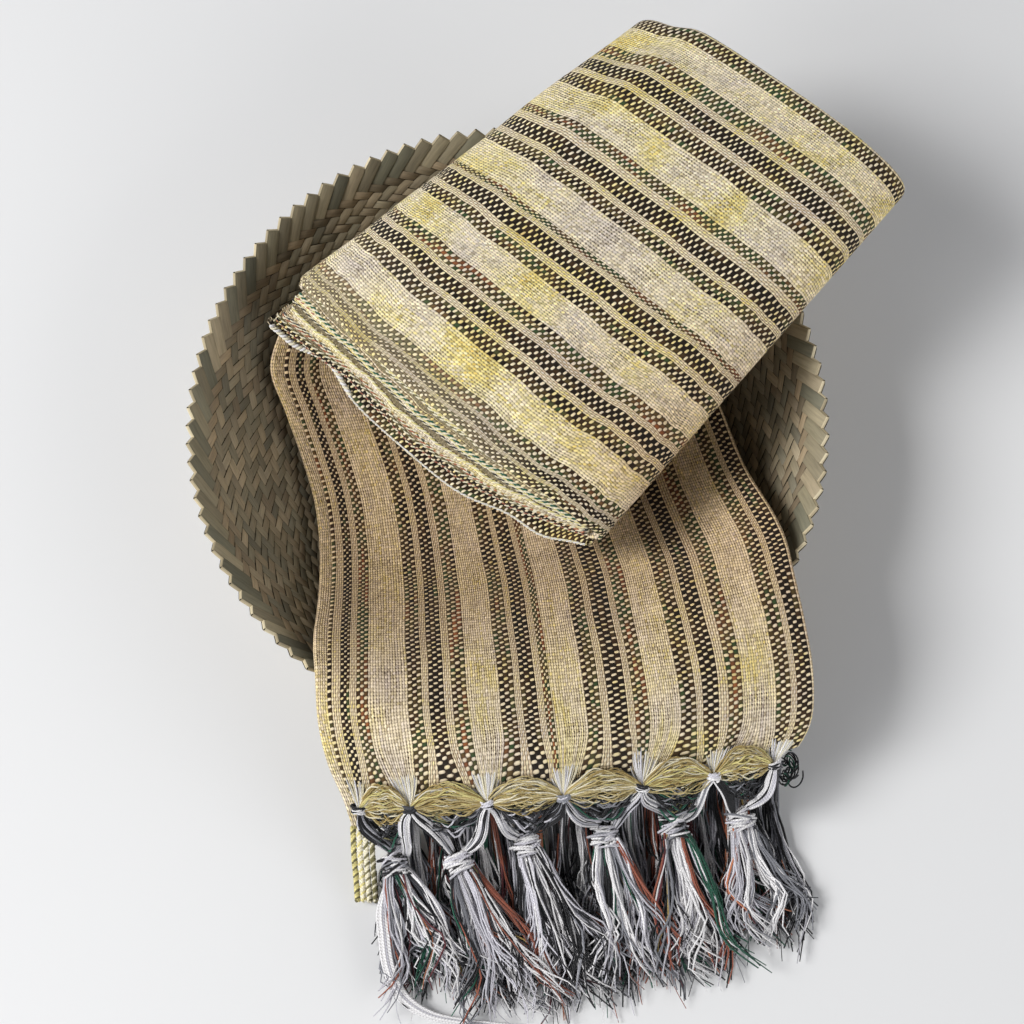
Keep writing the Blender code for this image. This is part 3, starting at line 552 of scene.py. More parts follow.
weft = shades_of(weave, plus(times(streak, 0.38), times(zone, 0.62)), (
    (0.36, srgb(224, 212, 198)), (0.44, srgb(240, 228, 202)), (0.52, srgb(246, 233, 192)),
    (0.57, srgb(244, 229, 160)), (0.63, srgb(235, 214, 128)), (0.72, srgb(214, 182, 94))))
weft = mixed(weave, times(dark, 0.35), weft, srgb(214, 196, 160))
cloth = mixed(weave, dot, warp, weft)

# Painted shade in the gaps at the corners between threads and in the hollows beside the pale lines.
sparse = patchy(thread, 0.10, pick, 0.12, 77.0, 2.0)
gap_shade = times(power(across, 1.5), power(along, less(0.9, times(loose, 0.5))))
gap_shade = times(eased(weave, gap_shade, 0.12, 0.55), plus(times(eased(weave, sparse, 0.36, 0.62), 0.42),
                                                  times(eased(weave, beaten, 0.30, 0.70), 0.36)))
open_hole = times(power(out_from_middle(times(wide, 0.5)), 1.6),
                  out_from_middle(times(pick, 0.72)))
open_part = times(light, plus(eased(weave, sparse, 0.50, 0.66), times(loose, 0.75)))
gap_shade = woven("MAXIMUM", gap_shade, times(eased(weave, open_hole, 0.34, 0.62), times(open_part, 0.85)))
hollow_shade = times(times(pale_line, eased(weave, across, 0.45, 0.92)), less(0.55, times(dot, 0.30)))
gap_shade = woven("MINIMUM", woven("MAXIMUM", gap_shade, hollow_shade), 1.0)
# The gaps and hollows are painted dark brown: painted shade.
cloth = mixed(weave, gap_shade, cloth, srgb(78, 58, 34))

# Every crossing, slub and fibre differs a little, and painted shade darkens the threads where they
# dip, with a painted highlight where they rise.
crossing = patchy(floor_of(wide), 5.3, row, 2.7, 29.0)
cloth = mixed(weave, light, cloth, tinted(cloth, crossing, (
    (0.28, (0.62, 0.58, 0.51, 1.0)), (0.44, (0.96, 0.95, 0.93, 1.0)),
    (0.66, (1.22, 1.22, 1.24, 1.0)))))
slub = plus(patchy(column, 3.1, pick, 0.11, 91.0, 2.0), patchy(thread, 0.13, row, 3.3, 63.0, 2.0))
cloth = tinted(cloth, times(slub, 0.5), (
    (0.30, (0.80, 0.78, 0.76, 1.0)), (0.50, (1.0, 1.0, 1.0, 1.0)),
    (0.68, (1.16, 1.16, 1.15, 1.0))))
# Painted shade: where warmth is above zero the cloth turns darker and warmer, and its dyes shift a
# little.
shaded_cloth = mixed(weave, 1.0, cloth, (0.80, 0.67, 0.56, 1.0), "MULTIPLY")
cloth = mixed(weave, times(shade_warmth, 0.9), cloth, shaded_cloth)
fibre = patchy(thread, 2.3, pick, 3.1, 0.0, 3.0, 0.65)
over_warp = less(0.78, plus(times(power(across, 2.2), 0.55), times(power(along, 2.0), 0.30)))
over_weft = less(1.0, plus(times(power(along, 2.2), 0.6), times(power(across, 2.4), 0.45)))
height = plus(times(over_weft, dot), times(over_warp, less(1.0, dot)))
height = plus(height, times(less(fibre, 0.5), 0.35))
# Painted shade and highlight by the threads' height: darker where they dip, lighter on top.
cloth = tinted(cloth, height, (
    (0.0, (0.46, 0.42, 0.37, 1.0)), (0.45, (0.84, 0.82, 0.79, 1.0)),
    (0.95, (1.12, 1.12, 1.11, 1.0))))
weave.links.new(cloth, result.inputs["Colour"])
weave.links.new(height, result.inputs["Height"])

cotton, tree, shader = finish("handwoven_cotton", 0.92)
shader.inputs["Sheen Weight"].default_value = 0.05
shader.inputs["Sheen Roughness"].default_value = 0.6
shader.inputs["Specular IOR Level"].default_value = 0.25
group = tree.nodes.new("ShaderNodeGroup")
group.node_tree = weave
place = new_node(tree, "UVMap", uv_map="place")
tree.links.new(place.outputs["UV"], group.inputs["Threads"])
for kind, entry in (("loose", "Loose"), ("warmth", "Warmth")):
    own = new_node(tree, "Attribute", attribute_name=kind)
    tree.links.new(own.outputs["Fac"], group.inputs[entry])
tree.links.new(group.outputs["Colour"], shader.inputs["Base Color"])
raised(tree, shader, group.outputs["Height"], 0.8, 0.0008)

PICK = 0.0018                          # from one pick to the next
THREADS_A_METRE = 857.0                # fine threads a metre where no stripe is charted

# ---------------------------------------------------------------- the strip through the bowl
# The shawl's free end: the cloth folded in three along its length, laid through the bowl and over
# the front rim. The sheet is one piece from the top layer's left edge round both long folds.

CLOTH = 0.0014                         # a solid layer's thickness
PLY_PITCH = 0.0024                     # from one folded layer to the next
GAP = 0.0005                           # room left between pieces
STRIP_PLIES = 3
BEND = 0.010                           # how round the cloth lies over an edge
FLOAT_ROOM = 0.0018                    # room for the palm strips under the cloth
ROW_STEP = 0.025                       # length of cloth from one row below to the next
STRIP_ROWS = (
    # left x, y, z           right x, y, z          sag     bow
    (-0.112, 0.064, 0.049, 0.080, 0.099, 0.046, 0.026, 0.000),
    (-0.119, 0.038, 0.042, 0.089, 0.076, 0.044, 0.030, 0.000),
    (-0.112, 0.016, 0.033, 0.098, 0.052, 0.045, 0.032, 0.000),
    (-0.104, -0.006, 0.023, 0.107, 0.029, 0.046, 0.030, 0.000),
    (-0.097, -0.029, 0.017, 0.115, 0.005, 0.046, 0.024, 0.000),
    (-0.093, -0.054, 0.019, 0.122, -0.018, 0.048, 0.020, 0.000),
    (-0.091, -0.077, 0.029, 0.130, -0.041, 0.055, 0.018, 0.000),
    (-0.090, -0.096, 0.044, 0.137, -0.063, 0.065, 0.014, 0.000),
    (-0.089, -0.115, 0.061, 0.141, -0.085, 0.075, 0.008, 0.002),
    (-0.088, -0.134, 0.076, 0.146, -0.110, 0.074, 0.002, 0.003),
    (-0.087, -0.158, 0.068, 0.150, -0.133, 0.067, -0.007, 0.004),
    (-0.083, -0.178, 0.053, 0.150, -0.155, 0.054, -0.017, 0.004),
    (-0.076, -0.195, 0.037, 0.142, -0.171, 0.042, -0.006, 0.006),
    (-0.070, -0.214, 0.019, 0.132, -0.188, 0.026, -0.001, 0.008),
)
STRIP_LENGTH = ROW_STEP * (len(STRIP_ROWS) - 1)
STRIP_WIDTH = 0.2435
HEM = STRIP_LENGTH - ROW_STEP          # length of cloth at the knots
FOLD_OVERHANG = 0.020                  # the second fold reaches past the left edge, as a share
SCALLOP = 0.0056                       # how far the cloth draws back between knots
KNOT_PLACES = np.array((0.010, 0.128, 0.304, 0.474, 0.653, 0.817, 0.957))      # shares across
KNOT_RADIUS = 0.0032
SIDE_SHORT = 0.003                     # how far the cloth draws back outside the last knots
UNDER_SHORT = 0.012                    # the under layers end that far above the top one's end
UNDER_CORNER = 0.026                   # and hang lower by that at the left corner
GRID_MARGIN = 0.05                     # the laid surface is worked out a little past both edges


def through(rows, t):
    """Catmull-Rom points at each t (0 to 1) along equally spaced rows of numbers."""
    rows = np.asarray(rows, dtype=float)
    last = len(rows) - 1
    place = np.clip(np.asarray(t, dtype=float), 0.0, 1.0) * last
    i = np.minimum(place.astype(int), last - 1)
    f = (place - i).reshape(place.shape + (1,) * (rows.ndim - 1))
    before, start = rows[np.maximum(i - 1, 0)], rows[i]
    end, after = rows[i + 1], rows[np.minimum(i + 2, last)]
    return 0.5 * (2.0 * start + (end - before) * f
                  + (2.0 * before - 5.0 * start + 4.0 * end - after) * f * f
                  + (3.0 * start - before - 3.0 * end + after) * f ** 3)


def around_mean(grid):
    """Mean of each point's four neighbours in a grid."""
    padded = np.pad(grid, ((1, 1), (1, 1)) + ((0, 0),) * (grid.ndim - 2), mode="edge")
    return (padded[:-2, 1:-1] + padded[2:, 1:-1] + padded[1:-1, :-2] + padded[1:-1, 2:]) / 4.0


def unit(vectors):
    """Vectors brought to length 1."""
    return vectors / np.linalg.norm(vectors, axis=-1)[..., None]


def lying_strip():
    """Middle of the strip's top layer, laid over bowl and rim, and its upward normals."""
    outer = wall_outer[::-1]
    along = np.gradient(outer, axis=0)
    inner = outer + BASKET_WALL * unit(np.stack([-along[:, 1], along[:, 0]], axis=1))
    middle, side = (outer[-1] + inner[-1]) / 2.0, (outer[-1] - inner[-1]) / 2.0
    angles = np.linspace(0.0, math.pi, 32)[:, None]
    bead = middle + side * np.cos(angles) + np.array([-side[1], side[0]]) * np.sin(angles)
    bottom = [[radius, BASKET_WALL] for radius in np.linspace(0.0, FOOT_RADIUS, 60)]
    resting = np.concatenate([bottom, inner, bead, outer[200:]])
    shares = np.linspace(-GRID_MARGIN, 1.0 + GRID_MARGIN, 33)
    rows = through(STRIP_ROWS, np.linspace(0.0, 1.0, 61))
    bend = 4.0 * shares * (1.0 - shares)
    grid = rows[:, None, 0:3] + (rows[:, 3:6] - rows[:, 0:3])[:, None] * shares[None, :, None]
    grid[..., 1] -= bend * rows[:, 7:8]
    grid[..., 2] -= bend * rows[:, 6:7]
    reach = (STRIP_PLIES - 1) * PLY_PITCH + CLOTH / 2.0 + GAP + FLOAT_ROOM + BEND
    gap = resting[:, 0] - np.hypot(grid[..., 0], grid[..., 1])[..., None]
    room = reach ** 2 - gap ** 2
    rest = np.where(room > 0.0, resting[:, 1] + np.sqrt(np.maximum(room, 0.0)), -1.0).max(axis=-1)
    rest -= BEND
    height = np.maximum(grid[..., 2], rest)
    for smoothing in range(60):
        height = np.maximum((height + around_mean(height)) / 2.0, rest)
    grid[..., 2] = height
    t, s = np.linspace(0.0, 1.0, 241), np.linspace(0.0, 1.0, 129)
    grid = through(through(grid, t).transpose(1, 0, 2), s).transpose(1, 0, 2)
    normals = np.cross(np.gradient(grid, axis=1), np.gradient(grid, axis=0))
    normals = unit(normals * np.sign(normals[..., 2:3]))
    for smoothing in range(60):
        normals = (normals + around_mean(normals)) / 2.0
    return grid, unit(normals)


STRIP_GRID, STRIP_NORMALS = lying_strip()


def on_strip(grid, share, length):
    """Values of a fine grid over the strip, at shares of its width and lengths of cloth."""
    x = (np.asarray(share) + GRID_MARGIN) / (1.0 + 2.0 * GRID_MARGIN) * (grid.shape[1] - 1)
    y = np.asarray(length) / STRIP_LENGTH * (grid.shape[0] - 1)
    i = np.clip(y, 0.0, grid.shape[0] - 2.001).astype(int)
    j = np.clip(x, 0.0, grid.shape[1] - 2.001).astype(int)
    f, g = (x - j)[..., None], (y - i)[..., None]
    near = grid[i, j] * (1.0 - f) + grid[i, j + 1] * f
    far = grid[i + 1, j] * (1.0 - f) + grid[i + 1, j + 1] * f
    return near * (1.0 - g) + far * g


def strip_frame(share, length):
    """Points, directions across and along, and normals of the strip's top layer."""
    normal = unit(on_strip(STRIP_NORMALS, share, length))
    across = (on_strip(STRIP_GRID, np.asarray(share) + 0.03, length)
              - on_strip(STRIP_GRID, np.asarray(share) - 0.03, length))
    across = unit(across - (across * normal).sum(axis=-1)[..., None] * normal)
    return on_strip(STRIP_GRID, share, length), across, np.cross(across, normal), normal


def knot_gap(share):
    """Which gap between knots a share of the width lies in, and its place in the gap."""
    gap = np.clip(np.searchsorted(KNOT_PLACES, share) - 1, 0, len(KNOT_PLACES) - 2)
    left, right = KNOT_PLACES[gap], KNOT_PLACES[gap + 1]
    return np.clip((share - left) / (right - left), 0.0, 1.0), left, right


def top_hem(share):
    """Length of the top layer: drawn back between the knots."""
    part = knot_gap(share)[0]
    side = (share < KNOT_PLACES[0]) | (share > KNOT_PLACES[-1])
    short = np.where(side, SIDE_SHORT, SCALLOP * np.sin(np.pi * part))
    return HEM - KNOT_RADIUS - GAP - short


def under_hem(share):
    """Length of the under layers, which hang lower at the left edge."""
    return HEM - UNDER_SHORT + UNDER_CORNER * np.clip(1.3 - share / 0.08, 0.0, 1.0)


# Where the charted stripes start, as millimetres from the left edge and thread numbers.
STRIP_CHART = np.array((
    (0.0, 4.5), (2.0, 6), (6.6, 10), (11.0, 16), (14.6, 20), (20.2, 26), (40.1, 40), (47.3, 46),
    (50.9, 50), (58.2, 56), (62.3, 60), (70.1, 66), (86.0, 80), (93.8, 86), (97.0, 90),
    (104.6, 96), (108.2, 100), (111.5, 106), (128.4, 120), (135.9, 126), (139.4, 130),
    (149.2, 136), (152.0, 140), (159.5, 146), (175.4, 160), (183.4, 166), (187.0, 170),
    (195.2, 176), (200.3, 180), (207.6, 186), (225.2, 200), (232.6, 206), (235.6, 210),
    (243.5, 216)))


def thread_number(distance, chart):
    """Thread number at a distance in metres from the left edge, carried on past the chart."""
    mm = distance * 1000.0
    inside = np.interp(mm, chart[:, 0], chart[:, 1])
    past = np.minimum(mm - chart[0, 0], 0.0) + np.maximum(mm - chart[-1, 0], 0.0)
    return inside + past * THREADS_A_METRE / 1000.0


# Soft folds and puckers: share, length, half width, half length, rise, all but the first
# in metres; kept well inside the room that the layers leave.
STRIP_CREASES = (
    (0.06, 0.215, 0.010, 0.060, 0.0007), (0.16, 0.190, 0.008, 0.070, -0.0006),
    (0.27, 0.240, 0.012, 0.045, 0.0006), (0.36, 0.120, 0.014, 0.060, -0.0008),
    (0.45, 0.255, 0.007, 0.040, 0.0007), (0.52, 0.180, 0.015, 0.055, 0.0006),
    (0.63, 0.235, 0.009, 0.050, -0.0007), (0.74, 0.150, 0.012, 0.065, 0.0008),
    (0.81, 0.250, 0.008, 0.040, 0.0006), (0.90, 0.200, 0.010, 0.060, -0.0006),
    (0.97, 0.235, 0.008, 0.050, 0.0008), (0.30, 0.060, 0.020, 0.060, 0.0010),
    (0.70, 0.060, 0.018, 0.050, -0.0010),
)


def smooth(value, low, high):
    """0 below low, 1 above high and a smooth step between them."""
    part = np.clip((value - low) / (high - low), 0.0, 1.0)
    return part * part * (3.0 - 2.0 * part)


def crease_rise(share, length, creases, width):
    """How far soft creases lift the cloth."""
    rise = np.zeros(np.broadcast(share, length).shape)
    for at, along, half, run, top in creases:
        rise += top * np.exp(-((share - at) * width / half) ** 2 - ((length - along) / run) ** 2)
    return rise


# Across the folded sheet: top layer, first fold, under layer, second fold, lowest layer.
FOLD_ROUND = 0.0038                    # length of cloth round each fold
FOLD_TURN = np.linspace(0.0, 180.0, 10)[1:-1]
in_fold = np.ones(len(FOLD_TURN))
top = np.linspace(0.0, 1.0, 131)
under = np.linspace(1.0, -FOLD_OVERHANG, 33)
low = np.linspace(-FOLD_OVERHANG, 0.95, 33)
share, bent, layer, distance = [np.concatenate(values) for values in (
    (top, in_fold, under, -FOLD_OVERHANG * in_fold, low),
    (0.0 * top, FOLD_TURN, 180.0 + 0.0 * under, 180.0 + FOLD_TURN, 360.0 + 0.0 * low),
    (0.0 * top, 0.5 * in_fold, 1.0 + 0.0 * under, 1.5 * in_fold, 2.0 + 0.0 * low),
    (top * STRIP_WIDTH, STRIP_WIDTH + FOLD_TURN / 180.0 * FOLD_ROUND,
     STRIP_WIDTH * (2.0 - under) + FOLD_ROUND,
     STRIP_WIDTH * (2.0 + FOLD_OVERHANG) + FOLD_ROUND * (1.0 + FOLD_TURN / 180.0),
     STRIP_WIDTH * (2.0 + FOLD_OVERHANG + low + FOLD_OVERHANG) + 2.0 * FOLD_ROUND))]
hem = np.where(layer == 0.0, top_hem(share), under_hem(share))
hem = np.where(layer == 0.5, top_hem(share) + (hem - top_hem(share)) * bent / 180.0, hem)
length = np.linspace(0.0, 1.0, 145)[:, None] * hem[None, :]
share_grid = np.broadcast_to(share, length.shape)
point, across, along, normal = strip_frame(share_grid, length)
angle = np.radians(bent)[None, :, None]
fold_side = np.where(bent <= 180.0, 1.0, -1.0)[None, :, None]
facing = np.cos(angle) * normal + fold_side * np.sin(angle) * across
outward = np.where(layer == 0.5, 0.5, np.where(layer == 1.5, -0.5, 0.0)) * PLY_PITCH
points = point - (layer * PLY_PITCH)[None, :, None] * normal + outward[None, :, None] * facing
rise = crease_rise(share_grid, length, STRIP_CREASES, STRIP_WIDTH)
points = points + rise[..., None] * normal

# Near the hem the picks lie further apart and the threads close up towards the knots.
ease = smooth(length, HEM - 0.034, HEM - 0.004)
marks = np.linspace(0.0, STRIP_LENGTH, 2000)
apart = 1.0 + 0.50 * np.clip((marks - (HEM - 0.036)) / 0.030, 0.0, 1.0)
picks = np.cumsum(np.concatenate([[0.0], np.full(1999, STRIP_LENGTH / 1999.0)]) / (PICK * apart))
pick_number = np.interp(length, marks, picks)
loose = smooth(length, HEM - 0.075, HEM - 0.012)
gap_part, left, right = knot_gap(share_grid)
drawn = gap_part + 0.62 * ease * np.sin(2.0 * np.pi * gap_part) / (2.0 * np.pi)
inside = (layer == 0.0) & (share >= KNOT_PLACES[0]) & (share <= KNOT_PLACES[-1])
where = np.where(inside[None, :], (left + (right - left) * drawn) * STRIP_WIDTH, distance[None, :])
threads = thread_number(where, STRIP_CHART)
# Painted shade: the strip is darker and warmer through the bowl, where the bundle shades it, and
# this fades out towards the hem.
strip = mesh_piece("shawl_strip_cloth", points, patch_faces(*length.shape, 1), cotton,
                   np.stack([threads, pick_number], axis=-1), loose=loose * (layer == 0.0),
                   warmth=1.0 - 0.80 * smooth(length, 0.17, 0.285))
thicken(strip, 0.0009, 0.0)
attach(strip, "root")
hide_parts("shawl_strip")

# ---------------------------------------------------------------- the bundle's outer pass
# The rest of the shawl, folded over and over on itself. This is the last pass, round the top and
# both long folds; its left edge rolls over as a soft fold and its right edge is a firm one.

BACK_FOLD = np.array(((-0.107, 0.071), (0.072, 0.209)))
FRONT_FOLD = np.array(((0.047, -0.067), (0.202, 0.109)))
MIDDLE_HEIGHT = (0.0800, 0.1018)       # at the left and the right end
HALF_THICKNESS = (0.0250, 0.0243)      # at the left and the right end
CROWN = 0.003                          # how far the top swells in the middle
BACK_ROUNDNESS = (3.6, 2.3)            # powers of the rounded section, flat and upright
FRONT_ROUNDNESS = (2.5, 2.2)
BUNDLE_WIDTH = 0.230
WRAP = 0.0030                          # room that the outer pass takes up
LEFT_BOW = 0.010                       # how far the left edge bows out
RIGHT_STEP = 0.006                     # the step in the right edge
RIGHT_IN = 0.004


def from_to(pair, share):
    """A value between the two of a pair."""
    return pair[0] + (pair[1] - pair[0]) * share


def bundle_point(share, turn, inset):
    """Points of the bundle's section at shares of its width, by turn in degrees.

    Turn 0 is the front fold, 90 the top, 180 the back fold and 270 the underside.
    """
    share, turn, inset = np.broadcast_arrays(share, turn, inset)
    back = from_to(BACK_FOLD, share[..., None])
    front = from_to(FRONT_FOLD, share[..., None])
    centre, half = (back + front) / 2.0, (front - back) / 2.0
    reach = np.linalg.norm(half, axis=-1)
    cosine, sine = np.cos(np.radians(turn)), np.sin(np.radians(turn))
    ahead = cosine > 0.0
    flat, lift = [np.copysign(np.abs(wave) ** (2.0 / np.where(ahead, FRONT_ROUNDNESS[which],
                                                              BACK_ROUNDNESS[which])), wave)
                  for which, wave in enumerate((cosine, sine))]
    centre = centre + half * (flat * (reach - inset) / reach)[..., None]
    crown = CROWN * (1.0 - (2.0 * np.clip(share, 0.0, 1.0) - 1.0) ** 4) * np.maximum(sine, 0.0)
    height = (from_to(MIDDLE_HEIGHT, share) + lift * (from_to(HALF_THICKNESS, share) - inset)
              + crown)
    return np.concatenate([centre, height[..., None]], axis=-1)


BUNDLE_CHART = np.array((
    (-6.0, -2.8), (-1.4, 0), (4.6, 10), (8.8, 16), (9.4, 20), (15.6, 26), (35.0, 40), (42.4, 46),
    (46.0, 50), (53.5, 56), (57.0, 60), (63.6, 66), (80.8, 80), (87.6, 86), (91.6, 90),
    (100.0, 96), (103.0, 100), (105.4, 106), (126.0, 120), (133.0, 126), (137.0, 130),
    (146.0, 136), (151.0, 140), (156.6, 146), (177.6, 160), (186.4, 166), (190.6, 170),
    (199.0, 176), (202.6, 180), (211.2, 186), (227.5, 200), (235.6, 206)))

# Soft creases: place across in metres, turn, half width in metres, half turn, rise.
BUNDLE_CREASES = (
    (0.018, 70, 0.006, 60, -0.0010), (0.052, 112, 0.012, 26, 0.0010),
    (0.075, 40, 0.010, 24, -0.0012), (0.098, 90, 0.014, 45, 0.0008),
    (0.128, 60, 0.009, 30, -0.0010), (0.150, 128, 0.012, 22, 0.0012),
    (0.171, 84, 0.011, 40, -0.0008), (0.196, 48, 0.013, 26, 0.0012),
    (0.214, 110, 0.007, 32, -0.0012), (0.120, 24, 0.030, 10, -0.0012),
    (0.060, 14, 0.026, 8, 0.0010), (0.180, 20, 0.022, 9, 0.0011),
    (0.090, 160, 0.030, 8, -0.0010), (0.165, 166, 0.028, 9, 0.0010),
    (0.040, 170, 0.018, 12, -0.0008), (0.110, 330, 0.030, 16, 0.0010),
    (0.150, 215, 0.030, 14, -0.0010), (0.206, 138, 0.010, 10, -0.0016))
STRIP_CLOTH = 0.2356                   # cloth from the first charted stripe to the last
turns = np.linspace(-62.0, 238.0, 226)[:, None]
rolled = np.array((  # distance in from the edge, inset, distance along the cloth
    (0.0120, 0.0026, -0.0150), (0.0040, 0.0027, -0.0070), (0.0010, 0.0026, -0.0040),
    (-0.0002, 0.0021, -0.0027), (-0.0007, 0.0014, -0.0018), (-0.0005, 0.0007, -0.0010),
    (0.0004, 0.0002, -0.0002), (0.0018, 0.0, 0.0014)))
inner = np.linspace(0.0036, BUNDLE_WIDTH - 0.0036, 128)
place = np.concatenate([rolled[:, 0], inner, (BUNDLE_WIDTH - rolled[:, 0])[::-1]])[None, :]
inset = np.concatenate([rolled[:, 1], np.zeros(len(inner)), rolled[::-1, 1]])[None, :]
cloth_at = np.concatenate([rolled[:, 2], inner, (BUNDLE_WIDTH - rolled[:, 2])[::-1]])[None, :]
step = 1.0 / (1.0 + np.exp((turns - 122.0) / 3.0))
start = -LEFT_BOW * np.maximum(np.sin(np.radians(turns)), 0.0) ** 2
wave = 0.0007 * np.sin(np.radians(turns * 9.0) + 0.6) + 0.0004 * np.sin(np.radians(turns * 23.0))
end = BUNDLE_WIDTH + step * RIGHT_STEP - RIGHT_IN
spread = (end - start) / BUNDLE_WIDTH
across_at = start + wave * (1.0 - place / BUNDLE_WIDTH) + place * spread
bump = np.zeros(np.broadcast(place, turns).shape)
for at, turn, half, run, top in BUNDLE_CREASES:
    bump += top * np.exp(-((place - at) / half) ** 2 - ((turns - turn) / run) ** 2)
points = bundle_point(across_at / BUNDLE_WIDTH, turns, inset - bump)
pick_number = run_along(points[:, 70])[:, None] / PICK
scale = STRIP_CLOTH / BUNDLE_WIDTH
threads = thread_number(np.broadcast_to(cloth_at * scale, bump.shape), BUNDLE_CHART)
# Painted shade: the outer pass is darker and warmer along its front fold, and most near its left
# end; right by its left edge its dark stripes turn paler instead.
near_edge = np.exp(-(place / 0.024) ** 2) * (0.45 + 0.55 * smooth(turns, 40.0, 120.0))
front_shade = (0.75 * np.exp(-(place / 0.095) ** 2) * (1.0 - smooth(turns, 30.0, 105.0))
          + 0.30 * (1.0 - smooth(turns, 20.0, 60.0)))
wrap = mesh_piece("bundle_outer_pass", points, patch_faces(*bump.shape, 1)[:, ::-1], cotton,
                  np.stack(np.broadcast_arrays(threads, pick_number), axis=-1),
                  warmth=front_shade.clip(0.0, 1.0) * (1.0 - near_edge) - 0.62 * near_edge)
thicken(wrap, 0.0008, -1.0)
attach(wrap, "root")
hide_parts("bundle_wrap")

# ---------------------------------------------------------------- the bundle's hidden passes
# Six more passes lie inside, each the strip's three layers pressed flat. Their folded edges show
# at both ends of the bundle, stepped out at the left where they slid apart.

CORE_LAYERS = 6
LEFT_SPLAY = np.array(((0.026,), (0.020,), (0.024,), (0.017,), (0.003,)))      # back to front


def core_point(flat, share, level, push):
    """Points inside the wrap: flat runs from -1 at the back fold to 1 at the front fold."""
    power = np.where(flat > 0.0, FRONT_ROUNDNESS[0], BACK_ROUNDNESS[0])
    turn = np.degrees(np.arccos(np.copysign(np.abs(flat) ** (power / 2.0), flat)))
    top = bundle_point(share, turn, WRAP + 2.0 * GAP)
    bottom = bundle_point(share, -turn, WRAP + 2.0 * GAP)
    point = bottom + (top - bottom) * ((level + 1.0) / 2.0)[..., None]
    outward = unit(BACK_FOLD[0] - BACK_FOLD[1])
    return point + np.concatenate([outward, [0.0]]) * push[..., None]


def left_push(flat, level):
    """How far the left end of a layer stands out, by its level from -1 to 1."""
    low = through(LEFT_SPLAY, (flat + 1.0) / 2.0)[..., 0]
    top = LEFT_BOW * (1.0 - flat * flat)
    return low + (top - low) * (level + 1.0) / 2.0


# Each pass: how far its left fold stands out more than its neighbours, and the thread that lies
# on the fold, so that another stripe shows on each.
PASSES = ((0.0004, 30.0), (0.0030, 24.0), (0.0006, 38.0), (0.0032, 30.0), (0.0002, 21.0),
          (0.0016, 13.0))
